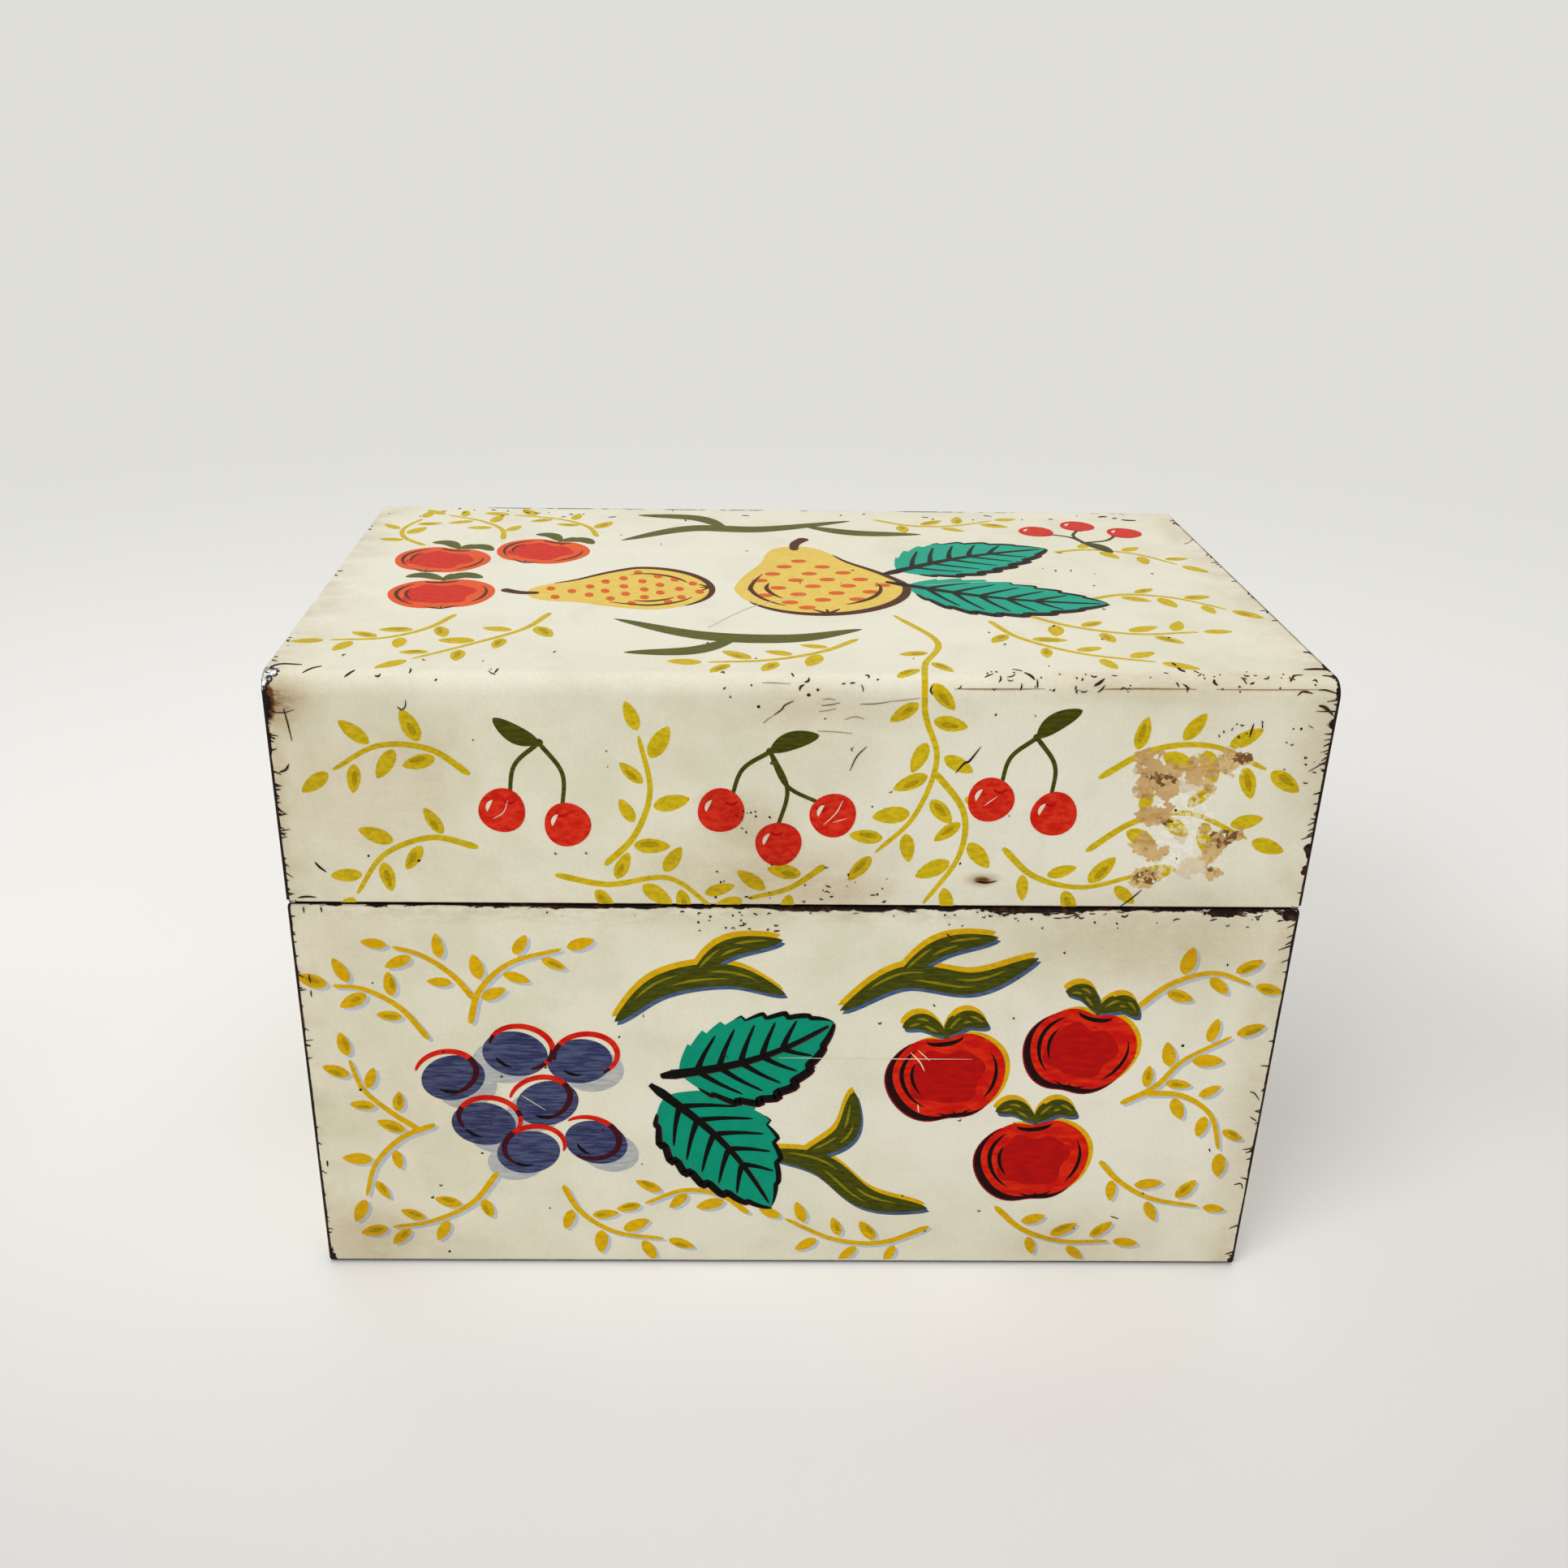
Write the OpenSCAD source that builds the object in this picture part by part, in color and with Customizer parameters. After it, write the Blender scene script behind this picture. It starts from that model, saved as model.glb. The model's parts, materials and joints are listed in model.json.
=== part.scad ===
// Hinged tin box for 3 x 5 inch recipe cards.
// Two open trays of folded tinplate meet at a flush seam, and a rolled hinge joins them along the back.
// Each tray is one wrapped sheet (front, closed face, back) crimped over two pan-shaped end panels.
// Frame: X to the right, Y to the back, Z up, with the origin under the middle of the base.

/* [Box] */
// Width over the two ends
box_w = 136; // [120:1:160]
// Depth over the front and back faces
box_d = 84; // [60:1:110]
// Height with the lid shut
box_h = 94; // [84:1:120]
// Height of the base up to its shoulder
base_h = 61.2; // [45:0.2:66]
// Gap that shows between the lid and the base
seam_gap = 0.4; // [0.3:0.1:0.8]

/* [Sheet metal] */
// Thickness of the tinplate
sheet = 0.3; // [0.25:0.05:0.45]
// Inside radius of the bends between the lid's top and its front and back
lid_bend_inner_r = 2.2; // [1:0.1:6]
// Inside radius of the bends between the base's bottom and its front and back
base_bend_inner_r = 0.7; // [0.7:0.1:3]
// Inside radius of the crimped folds at the ends
crimp_inner_r = 0.1; // [0.05:0.05:0.2]
// Width of the crimped flange on each end face
crimp_w = 3; // [2:0.5:5]
// Inside radius of the bend between an end panel and its flange
pan_inner_r = 0.15; // [0.05:0.05:0.2]
// Depth of the flange that each end panel turns into the box
pan_flange_w = 6; // [4:0.5:10]

/* [Neck] */
// Height of the neck that the lid closes over, above the base's shoulder
neck_h = 6.5; // [4:0.5:7]
// Clearance between the neck and the lid's hem
neck_play = 0.4; // [0.4:0.05:0.8]
// Length that is notched out of the neck at each corner
neck_notch = 2.2; // [2:0.2:6]

/* [Lid hem] */
// Height of the hem folded back inside the lid's lower edge
hem_w = 5; // [3:0.5:8]
// Space inside the folded hem
hem_gap = 0.1; // [0.05:0.05:0.2]
// Length that is notched out of the hem at each corner
hem_notch = 1.4; // [1.2:0.2:4]

/* [Hinge] */
// Diameter of the hinge wire
pin_d = 1.8; // [1.4:0.1:2.4]
// Radial clearance between the wire and the rolled knuckles
pin_play = 0.05; // [0.03:0.01:0.08]
// Number of knuckles along the hinge, the base's and the lid's taken together
knuckles = 5; // [3:2:11]
// Gap between neighbouring knuckles
knuckle_gap = 0.3; // [0.2:0.1:0.8]
// Distance from the end faces to the outermost knuckles
hinge_end_inset = 1.2; // [1:0.1:3]
// Distance from the end faces to the tips of the hinge wire
pin_end_inset = 0.6; // [0.4:0.1:1]
// Angle at which the lid's back wall comes down on the base's
open_angle = 105; // [90:5:120]
// Space left between those walls at that angle
stop_gap = 0.1; // [0.05:0.05:0.3]
// Angle that each knuckle's curl leaves open beside its own wall
curl_opening = 60; // [50:5:80]

/* [Hidden] */
$fn = 64;

// Outside radii of the bends
crimp_r = crimp_inner_r + sheet;
pan_r = pan_inner_r + sheet;
base_bend_r = base_bend_inner_r + sheet;
lid_bend_r = lid_bend_inner_r + sheet;

// The hem is three parts thick: sheet, gap, sheet
hem_t = 2 * sheet + hem_gap;
hem_r = hem_t / 2;

// The shoulder is an S bend of two equal quarter arcs that steps the neck in behind the hem
neck_step = hem_t + neck_play;
shoulder_in_r = (neck_step - sheet) / 2;
shoulder_out_r = shoulder_in_r + sheet;

// The hinge barrel lies flush with the back face, centred on the seam
knuckle_r = pin_d / 2 + pin_play + sheet;
hinge_y = box_d / 2 - knuckle_r;
hinge_z = base_h + seam_gap / 2;
// Walls tangent to the barrel meet at this distance from it when the lid is fully open
wall_cut = knuckle_r * tan(open_angle / 2) + stop_gap;
// Front of the pocket that the end panels leave for the barrel
pocket_y = hinge_y - knuckle_r - neck_play;

// Each tray is drawn standing on its closed face; the lid is then turned over
lid_h = box_h - base_h - seam_gap;
base_axis_h = hinge_z;
lid_axis_h = box_h - hinge_z;
base_front_h = base_h - shoulder_out_r;
lid_front_h = lid_h - hem_r;
// How far the end panels' turned-in flanges stay below a rim that has a shoulder or a hem
flange_clear = 0.8;

// Extrudes a profile drawn in Y and Z from x0 to x1
module along_x(x0, x1)
  translate([x0, 0, 0]) rotate([90, 0, 90]) linear_extrude(x1 - x0) children();

// Extrudes a profile drawn in X and Z from y0 to y1
module along_y(y0, y1)
  translate([0, y1, 0]) rotate([90, 0, 0]) linear_extrude(y1 - y0) children();

module on_both_ends()
  for (side = [0, 1]) mirror([side, 0, 0]) children();

// Quarter of a flat ring, on the side towards -X and -Y
module quarter_ring(r_out, r_in)
  intersection() {
    difference() {
      circle(r_out);
      circle(r_in);
    }
    translate([-r_out, -r_out]) square(r_out);
  }

// Side outline of an open tray, taken in by inset, with its two closed corners rounded
module tray_outline(h, bend_r, inset = 0) {
  r = bend_r - inset;
  w = box_d - 2 * inset;
  translate([-w / 2, inset])
    if (r > 0) {
      translate([r, 0]) square([w - 2 * r, r]);
      translate([0, r]) square([w, h - inset - r]);
      for (y = [r, w - r]) translate([y, r]) circle(r);
    } else {
      square([w, h - inset]);
    }
}

// Everything behind y and above h, in a tray's side view
module back_cut(y, h)
  translate([y, h]) square([box_d, box_h]);

// Side profile of the wrapped sheet, with its own heights at the front and the back
module wrap_profile(front_h, back_h, bend_r, inset = 0)
  difference() {
    tray_outline(front_h, bend_r, inset);
    tray_outline(front_h + 1, bend_r, inset + sheet);
    back_cut(0, back_h);
  }

// The fold along one end of a tray: a quarter ring that follows the front, the closed face and the back
module end_fold(front_h, back_h, bend_r, fold_r, inset = 0) {
  r = bend_r - inset;
  x = -box_w / 2 + inset + fold_r;
  y = box_d / 2 - inset;
  run = [[-1, front_h, 180], [1, back_h, 270]];
  for (wall = run) {
    translate([x, wall[0] * (y - fold_r), inset + r])
      linear_extrude(wall[1] - inset - r)
        mirror([0, wall[0] > 0 ? 1 : 0]) quarter_ring(fold_r, fold_r - sheet);
    translate([x, wall[0] * (y - r), inset + r])
      rotate([90, 0, 90]) rotate([0, 0, wall[2]]) fold_corner(r, fold_r);
  }
  along_y(r - y, y - r)
    translate([x, inset + fold_r]) quarter_ring(fold_r, fold_r - sheet);
}

// The same fold taken round a bend of outside radius bend_r
module fold_corner(bend_r, fold_r)
  rotate_extrude(angle = 90)
    translate([bend_r - fold_r, 0])
      mirror([1, 0]) quarter_ring(fold_r, fold_r - sheet);

// Flange crimped over an end panel, in the plane of the end face
module crimp_flange(front_h, back_h, bend_r)
  along_x(-box_w / 2, -box_w / 2 + sheet)
    difference() {
      tray_outline(front_h, bend_r, crimp_r);
      tray_outline(front_h + 1, bend_r, crimp_w);
      back_cut(0, back_h);
    }

// One knuckle's side profile: the wall's last stretch, rolled inwards round the wire
module knuckle_profile(axis_h, back_h) {
  reach = 2 * knuckle_r;
  translate([box_d / 2 - sheet, back_h]) square([sheet, axis_h - back_h]);
  translate([hinge_y, axis_h])
    difference() {
      circle(knuckle_r);
      circle(knuckle_r - sheet);
      polygon([
        [0, 0],
        [reach * cos(curl_opening), -reach * sin(curl_opening)],
        [reach, -reach * sin(curl_opening)],
        [reach, 0]
      ]);
    }
}

// The knuckles whose number along the hinge leaves the given remainder by two
module knuckle_row(remainder, axis_h, back_h) {
  first_x = -box_w / 2 + hinge_end_inset;
  pitch = (box_w - 2 * hinge_end_inset) / knuckles;
  for (i = [remainder:2:knuckles - 1])
    along_x(first_x + i * pitch + knuckle_gap / 2, first_x + (i + 1) * pitch - knuckle_gap / 2)
      knuckle_profile(axis_h, back_h);
}

// Wrapped sheet common to both trays, without its front rim
module tray_wrap(front_h, axis_h, bend_r, remainder) {
  back_h = axis_h - wall_cut;
  along_x(-box_w / 2 + crimp_r, box_w / 2 - crimp_r) wrap_profile(front_h, back_h, bend_r);
  on_both_ends() {
    end_fold(front_h, back_h, bend_r, crimp_r);
    crimp_flange(front_h, back_h, bend_r);
  }
  knuckle_row(remainder, axis_h, back_h);
}

// Left end panel common to both trays, without its rim: a pan that opens into the box
module tray_end(front_h, axis_h, bend_r) {
  x = -box_w / 2 + sheet;
  back_h = axis_h - wall_cut;
  flange_h = min(front_h, back_h) - flange_clear;
  along_x(x, x + sheet)
    difference() {
      tray_outline(front_h, bend_r, sheet + pan_r);
      back_cut(pocket_y, back_h);
    }
  difference() {
    end_fold(front_h, back_h, bend_r, pan_r, sheet);
    translate([-box_w / 2, -box_d / 2, flange_h]) cube([pan_flange_w, box_d, box_h]);
  }
  along_x(x + pan_r, x + pan_flange_w)
    wrap_profile(flange_h, flange_h, bend_r, sheet);
}

// Shoulder and neck in section: u runs into the box, v is the height above the straight wall
module shoulder_arc()
  translate([shoulder_out_r, 0])
    mirror([0, 1]) quarter_ring(shoulder_out_r, shoulder_in_r);

module neck_profile() {
  translate([shoulder_out_r, shoulder_out_r + shoulder_in_r])
    mirror([1, 0]) quarter_ring(shoulder_out_r, shoulder_in_r);
  translate([neck_step, shoulder_out_r + shoulder_in_r])
    square([sheet, neck_h - shoulder_in_r]);
}

// Hem in section: the sheet turns through half a circle and comes back inside the wall
module hem_profile() {
  translate([hem_r, 0])
    difference() {
      circle(hem_r);
      circle(hem_gap / 2);
      translate([-hem_r, -hem_t]) square([hem_t, hem_t]);
    }
  translate([sheet + hem_gap, hem_r - hem_w]) square([sheet, hem_w - hem_r]);
}

module base_wrap()
  color("#e4ddc4") {
    tray_wrap(base_front_h, base_axis_h, base_bend_r, 0);
    along_x(-box_w / 2 + crimp_r, box_w / 2 - crimp_r)
      translate([-box_d / 2, base_front_h]) shoulder_arc();
    along_x(-box_w / 2 + neck_notch, box_w / 2 - neck_notch)
      translate([-box_d / 2, base_front_h]) neck_profile();
    // The folds end in a tuck that follows the shoulder
    on_both_ends()
      translate([-box_w / 2 + crimp_r, shoulder_out_r - box_d / 2, base_front_h])
        rotate([90, 0, 90]) rotate([0, 0, 90]) fold_corner(shoulder_out_r, crimp_r);
  }

module base_left_end()
  color("#e4ddc4") {
    tray_end(base_front_h, base_axis_h, base_bend_r);
    along_y(-box_d / 2 + neck_notch, pocket_y)
      translate([-box_w / 2 + sheet, base_front_h]) {
        shoulder_arc();
        neck_profile();
      }
  }

module base_right_end()
  mirror([1, 0, 0]) base_left_end();

module lid_wrap()
  color("#e8e2cb")
    translate([0, 0, box_h]) mirror([0, 0, 1]) {
      tray_wrap(lid_front_h, lid_axis_h, lid_bend_r, 1);
      along_x(-box_w / 2 + hem_notch, box_w / 2 - hem_notch)
        translate([-box_d / 2, lid_front_h]) hem_profile();
    }

module lid_left_end()
  color("#e8e2cb")
    translate([0, 0, box_h]) mirror([0, 0, 1]) {
      difference() {
        tray_end(lid_front_h, lid_axis_h, lid_bend_r);
        // The front flange stops short of the wrap's hem
        translate([-box_w / 2 + hem_notch - neck_play, -box_d / 2, lid_h - hem_w - flange_clear])
          cube([pan_flange_w + sheet, box_d / 2, hem_w + flange_clear]);
      }
      along_y(-box_d / 2 + hem_notch, pocket_y)
        translate([-box_w / 2 + sheet, lid_front_h]) hem_profile();
    }

module lid_right_end()
  mirror([1, 0, 0]) lid_left_end();

module hinge_pin()
  color("silver")
    translate([pin_end_inset - box_w / 2, hinge_y, hinge_z])
      rotate([0, 90, 0]) cylinder(d = pin_d, h = box_w - 2 * pin_end_inset);

base_wrap();
base_left_end();
base_right_end();
lid_wrap();
lid_left_end();
lid_right_end();
hinge_pin();
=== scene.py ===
"""Looks of a hinged tin recipe card box: its printed coat, its inks and a lifetime of kitchen wear.

The folded sheets, the neck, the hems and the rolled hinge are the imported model's own.
This script gives them their finishes, prints a fruit and sprig pattern on them and ages both alike.
Flat artwork is drawn in millimetres on unrolled panels and then wrapped round the folded sheet.
"""

import json
import logging
import math
import random
from collections import Counter
from collections.abc import Callable, Iterator, Sequence
from dataclasses import dataclass, field
from enum import Enum
from functools import partial, reduce
from itertools import groupby
from typing import Any

import bmesh
import bpy
from mathutils import Matrix, Vector


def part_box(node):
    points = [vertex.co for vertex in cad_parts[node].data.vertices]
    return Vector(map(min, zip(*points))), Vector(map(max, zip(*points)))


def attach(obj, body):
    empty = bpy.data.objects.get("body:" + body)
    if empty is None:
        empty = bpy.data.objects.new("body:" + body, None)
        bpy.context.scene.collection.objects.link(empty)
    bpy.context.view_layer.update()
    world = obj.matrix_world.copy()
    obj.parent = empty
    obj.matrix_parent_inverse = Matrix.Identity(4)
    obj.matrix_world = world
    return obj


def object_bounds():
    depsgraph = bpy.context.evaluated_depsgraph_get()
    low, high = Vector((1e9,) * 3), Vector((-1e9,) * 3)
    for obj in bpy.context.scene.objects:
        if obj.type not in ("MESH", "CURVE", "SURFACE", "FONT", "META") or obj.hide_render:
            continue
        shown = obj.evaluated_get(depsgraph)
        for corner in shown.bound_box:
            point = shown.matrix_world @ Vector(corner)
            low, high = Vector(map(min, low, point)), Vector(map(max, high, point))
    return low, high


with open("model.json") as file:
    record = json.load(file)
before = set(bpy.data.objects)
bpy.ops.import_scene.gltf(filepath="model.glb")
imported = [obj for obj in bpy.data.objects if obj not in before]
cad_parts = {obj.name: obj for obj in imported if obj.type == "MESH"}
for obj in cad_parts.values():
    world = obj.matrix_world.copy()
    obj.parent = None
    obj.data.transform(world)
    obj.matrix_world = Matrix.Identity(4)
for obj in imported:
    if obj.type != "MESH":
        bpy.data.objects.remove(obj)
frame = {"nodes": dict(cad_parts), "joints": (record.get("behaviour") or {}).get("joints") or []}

log = logging.getLogger("recipe_card_box")

MM = 0.001
CAD_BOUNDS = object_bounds()

Colour = tuple[float, float, float]
Point = tuple[float, float]
Place = tuple[float, float, float]
Width = Callable[[float], float]
Socket = bpy.types.NodeSocket

# The Mix node's inputs for its share and for the two numbers or colours.
MIX_NUMBERS = (0, 2, 3)
MIX_COLOURS = (0, 6, 7)

PRINT_SEED = 1958
WEAR_SEED = 77

# How high inks lie over the coat and shapes over one another, and how strokes and leaves are drawn.
LOWEST_INK = 0.008
INK_STEP = 0.0031
SHAPE_STEP = 0.0002
SHAPE_STEPS = 17
BLUNT_END = 0.45
END_ROUNDING = 14
FINEST_LINE = 0.03
LEAF_SLIMNESS = 0.35
LEAF_DROOP = 0.07

UPRIGHT = (0.0, 0.0, 1.0)
RIGHTWARD = (1.0, 0.0, 0.0)
LEFTWARD = (-1.0, 0.0, 0.0)
ONWARD = (0.0, 1.0, 0.0)


@dataclass(frozen=True)
class TinSizes:
    """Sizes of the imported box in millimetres, which the print and the wear follow."""

    width: float
    depth: float
    height: float
    hinge_y: float
    seam: float
    gap: float
    sheet: float = 0.3
    lid_bend: float = 2.5
    hem: float = 5.0
    crimp: float = 3.0
    crease: float = 0.4
    knuckle: float = 1.25

    @classmethod
    def from_frame(cls) -> "TinSizes":
        """Reads the overall sizes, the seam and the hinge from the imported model.

        Returns:
            The sizes.
        """
        low, high = (corner / MM for corner in CAD_BOUNDS)
        hinge = Vector(frame["joints"][0]["pos_m"]) / MM
        lid_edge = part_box("lid_left_end")[0].z / MM
        return cls(high.x - low.x, high.y - low.y, high.z, hinge.y, hinge.z, 2 * (lid_edge - hinge.z))


TIN = TinSizes.from_frame()


def rgb(red: int, green: int, blue: int) -> Colour:
    """Turns a display colour into the linear colour that a shader takes.

    Args:
        red: its red, from 0 to 255.
        green: its green.
        blue: its blue.

    Returns:
        The linear colour.
    """

    def linear(level: int) -> float:
        """One channel."""
        share = level / 255
        return share / 12.92 if share <= 0.04045 else ((share + 0.055) / 1.055) ** 2.4

    return linear(red), linear(green), linear(blue)


class Graph:
    """Short hand for wiring one shader tree."""

    def __init__(self, tree: bpy.types.NodeTree) -> None:
        """Keeps the tree that new nodes go into."""
        self.tree = tree

    def node(self, kind: str, **settings: Any) -> bpy.types.Node:
        """Adds a node.

        Args:
            kind: the node's type name.
            settings: properties to set on it.

        Returns:
            The new node.
        """
        made = self.tree.nodes.new(kind)
        for name, value in settings.items():
            setattr(made, name, value)
        return made

    def fill(self, node: bpy.types.Node, inputs: dict[int | str, Any]) -> bpy.types.Node:
        """Fills a node's inputs.

        Args:
            node: the node.
            inputs: a socket to link, or a value to set, for each input's number or name.

        Returns:
            The same node.
        """
        for key, value in inputs.items():
            if isinstance(value, bpy.types.NodeSocket):
                self.tree.links.new(value, node.inputs[key])
            elif node.inputs[key].type == "RGBA":
                node.inputs[key].default_value = (*value, 1.0)
            else:
                node.inputs[key].default_value = value
        return node

    def filled(self, kind: str, *inputs: Any, **settings: Any) -> bpy.types.Node:
        """Adds a node and fills its first inputs in their order."""
        return self.fill(self.node(kind, **settings), dict(enumerate(inputs)))

    def maths(self, operation: str, *values: Any, clamp: bool = False) -> Socket:
        """The result of one Math node. Clamp keeps it from 0 to 1."""
        return self.filled("ShaderNodeMath", *values, operation=operation, use_clamp=clamp).outputs[0]

    def lowest(self, *values: Any) -> Socket:
        """The smallest of several values."""
        return reduce(partial(self.maths, "MINIMUM"), values)

    def highest(self, *values: Any) -> Socket:
        """The largest of several values."""
        return reduce(partial(self.maths, "MAXIMUM"), values)

    def product(self, *values: Any) -> Socket:
        """Several values multiplied."""
        return reduce(partial(self.maths, "MULTIPLY"), values)

    def diagonal(self, across: Socket, onward: Socket) -> Socket:
        """The length of a flat vector with these two parts."""
        squares = (self.product(part, part) for part in (across, onward))
        return self.maths("SQRT", self.maths("ADD", *squares))

    def length(self, vector: Socket) -> Socket:
        """The length of a vector."""
        return self.filled("ShaderNodeVectorMath", vector, operation="LENGTH").outputs["Value"]

    def axes(self, place: Socket) -> tuple[Socket, Socket, Socket]:
        """The three parts of a position."""
        return tuple(self.filled("ShaderNodeSeparateXYZ", place).outputs)

    def fade(self, value: Any, start: Any, end: Any) -> Socket:
        """A smooth step of value, from 0 at start to 1 at end. Start may lie above end."""
        step = self.node("ShaderNodeMapRange", interpolation_type="SMOOTHSTEP")
        return self.fill(step, {"Value": value, "From Min": start, "From Max": end}).outputs[0]

    def mapped(
        self, place: Socket, shift: Sequence[float] = (0, 0, 0), stretch: Sequence[float] = (1, 1, 1)
    ) -> Socket:
        """A position for a pattern that is made wider along each axis by stretch, and then moved."""
        inputs = {"Vector": place, "Location": shift, "Scale": [1 / s for s in stretch]}
        return self.fill(self.node("ShaderNodeMapping"), inputs).outputs[0]

    def texture(self, kind: str, place: Socket, grain: float, **settings: Any) -> bpy.types.Node:
        """A solid texture with features about grain wide, in the unit of its place."""
        return self.fill(self.node(kind, **settings), {"Vector": place, "Scale": 1 / grain})

    def noise(
        self, place: Socket, grain: float, detail: float = 3.0, rough: float = 0.55, warp: float = 0.0
    ) -> Socket:
        """Wires a noise.

        Args:
            place: a position.
            grain: width of the features, in the position's own unit.
            detail: octaves.
            rough: strength of the finer octaves.
            warp: distortion.

        Returns:
            The noise, from 0 to 1.
        """
        made = self.texture("ShaderNodeTexNoise", place, grain)
        return self.fill(made, {"Detail": detail, "Roughness": rough, "Distortion": warp}).outputs["Fac"]

    def cells(self, place: Socket, size: float) -> tuple[bpy.types.Node, Socket]:
        """Splits space into cells.

        Args:
            place: a position in millimetres.
            size: a cell's usual width.

        Returns:
            The texture that makes the cells, and each cell's own number from 0 to 1.
        """
        made = self.texture("ShaderNodeTexVoronoi", place, size, feature="F1")
        return made, self.filled("ShaderNodeSeparateColor", made.outputs["Color"]).outputs[0]

    def flakes(self, place: Socket, size: float) -> tuple[Socket, Socket, Socket]:
        """Splits a surface into ragged flakes.

        Args:
            place: a position in millimetres.
            size: a flake's usual width.

        Returns:
            The middle of the flake that a place lies in, the flake's own number from 0 to 1,
            and how far off the flake's rim the place is, in flake widths.
        """
        wave = self.texture("ShaderNodeTexNoise", place, size / 1.2).outputs["Color"]
        centred = self.mapped(place, shift=[-size / 2] * 3)
        bent = self.filled("ShaderNodeVectorMath", wave, [size] * 3, centred, operation="MULTIPLY_ADD")
        flakes, number = self.cells(bent.outputs[0], size)
        rims = self.texture("ShaderNodeTexVoronoi", bent.outputs[0], size, feature="DISTANCE_TO_EDGE")
        return flakes.outputs["Position"], number, rims.outputs["Distance"]

    def blend(self, share: Any, first: Any, second: Any, mode: str = "MIX") -> Socket:
        """Mixes two colours.

        Args:
            share: how much of the second colour, from 0 to 1.
            first: a colour or a colour socket.
            second: another.
            mode: how the second colour acts on the first.

        Returns:
            The mixed colour's socket.
        """
        made = self.node("ShaderNodeMix", data_type="RGBA", blend_type=mode)
        return self.fill(made, dict(zip(MIX_COLOURS, (share, first, second)))).outputs[2]

    def between(self, share: Any, first: Any, second: Any) -> Socket:
        """Mixes two numbers."""
        made = self.node("ShaderNodeMix", data_type="FLOAT")
        return self.fill(made, dict(zip(MIX_NUMBERS, (share, first, second)))).outputs[0]

    def bump(self, height: Socket, strength: float, distance: float) -> Socket:
        """The relief for a shader. Its distance is what a height of 1 stands for, in millimetres."""
        inputs = {"Strength": strength, "Distance": distance * MM, "Height": height}
        return self.fill(self.node("ShaderNodeBump"), inputs).outputs[0]


def start_finish(name: str) -> tuple[bpy.types.Material, Graph, bpy.types.Node]:
    """Starts a material.

    Args:
        name: the material's name.

    Returns:
        The material, the graph of its nodes and its shader.
    """
    material = bpy.data.materials.new(name)
    material.use_nodes = True
    g = Graph(material.node_tree)
    return material, g, g.tree.nodes["Principled BSDF"]


def put_in_scene(name: str, data: bpy.types.ID) -> bpy.types.Object:
    """Makes an object and links it to the scene.

    Args:
        name: the object's name.
        data: its mesh, lamp or camera.

    Returns:
        The object.
    """
    made = bpy.data.objects.new(name, data)
    bpy.context.scene.collection.objects.link(made)
    return made


@dataclass(frozen=True)
class Spot:
    """A round mark on the tin: its middle, its half size along each axis, and its strength."""

    middle: Place
    reach: Place
    strength: float = 1.0


def on_front(*rows: tuple[float, ...], deep: float = 2.0) -> tuple[Spot, ...]:
    """Marks on the front of the box.

    Args:
        rows: each mark's x and z, its half width and half height, and its strength if that isn't 1.
        deep: how far the marks reach off the face.

    Returns:
        The marks.
    """
    face = -TIN.depth / 2
    return tuple(
        Spot((x, face, z), (wide, deep, high), *strength) for x, z, wide, high, *strength in rows
    )


class TinGraph(Graph):
    """The wear group's graph, which also knows where on the box a place lies, in millimetres."""

    def __init__(self, tree: bpy.types.NodeTree) -> None:
        """Wires the measures and the noises that all the wear is made from.

        Args:
            tree: the tree that new nodes go into.
        """
        super().__init__(tree)
        coords = self.node("ShaderNodeTexCoord").outputs
        self.normal = coords["Normal"]
        self.place = self.mapped(coords["Object"], stretch=(MM, MM, MM))
        self.x, self.y, self.z = self.axes(self.place)
        to_end = self.maths("SUBTRACT", TIN.width / 2, self.maths("ABSOLUTE", self.x))
        to_face = self.maths("SUBTRACT", TIN.depth / 2, self.maths("ABSOLUTE", self.y))
        to_flat = self.lowest(self.z, self.maths("SUBTRACT", TIN.height, self.z))
        off_seam = self.maths("ABSOLUTE", self.maths("SUBTRACT", self.z, TIN.seam))
        self.to_fold = self.highest(to_end, self.lowest(to_face, to_flat))
        self.to_side = self.lowest(to_face, to_end)
        self.to_seam = self.maths("SUBTRACT", off_seam, TIN.gap / 2)
        self.below_seam = self.fade(self.z, TIN.seam + 0.05, TIN.seam - 0.05)
        self.on_top = self.fade(self.z, TIN.height - 1.8, TIN.height - 0.3)
        self.ragged = self.noise(self.mapped(self.place, stretch=(2.6, 1, 1)), 0.9, 4, 0.65)
        self.bitty = self.noise(self.mapped(self.place, (31, 7, 5)), 0.8, 3, 0.6)
        self.broad = self.noise(self.mapped(self.place, (3, 19, 11)), 7, 3, 0.6)


@dataclass(frozen=True)
class Wear:
    """What the wear group tells of a place, from 0 to 1 apart from the relief and the place itself."""

    # The worn coat, which also holds the painted shade in the seam's gap and along the foot.
    worn: Socket
    bright: Socket
    grime: Socket
    gum: Socket
    tar: Socket
    flake: Socket
    rubbed: Socket
    # Painted light: broad patches where the cream is made lighter.
    clean: Socket
    relief: Socket
    inside: Socket
    place: Socket


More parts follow.
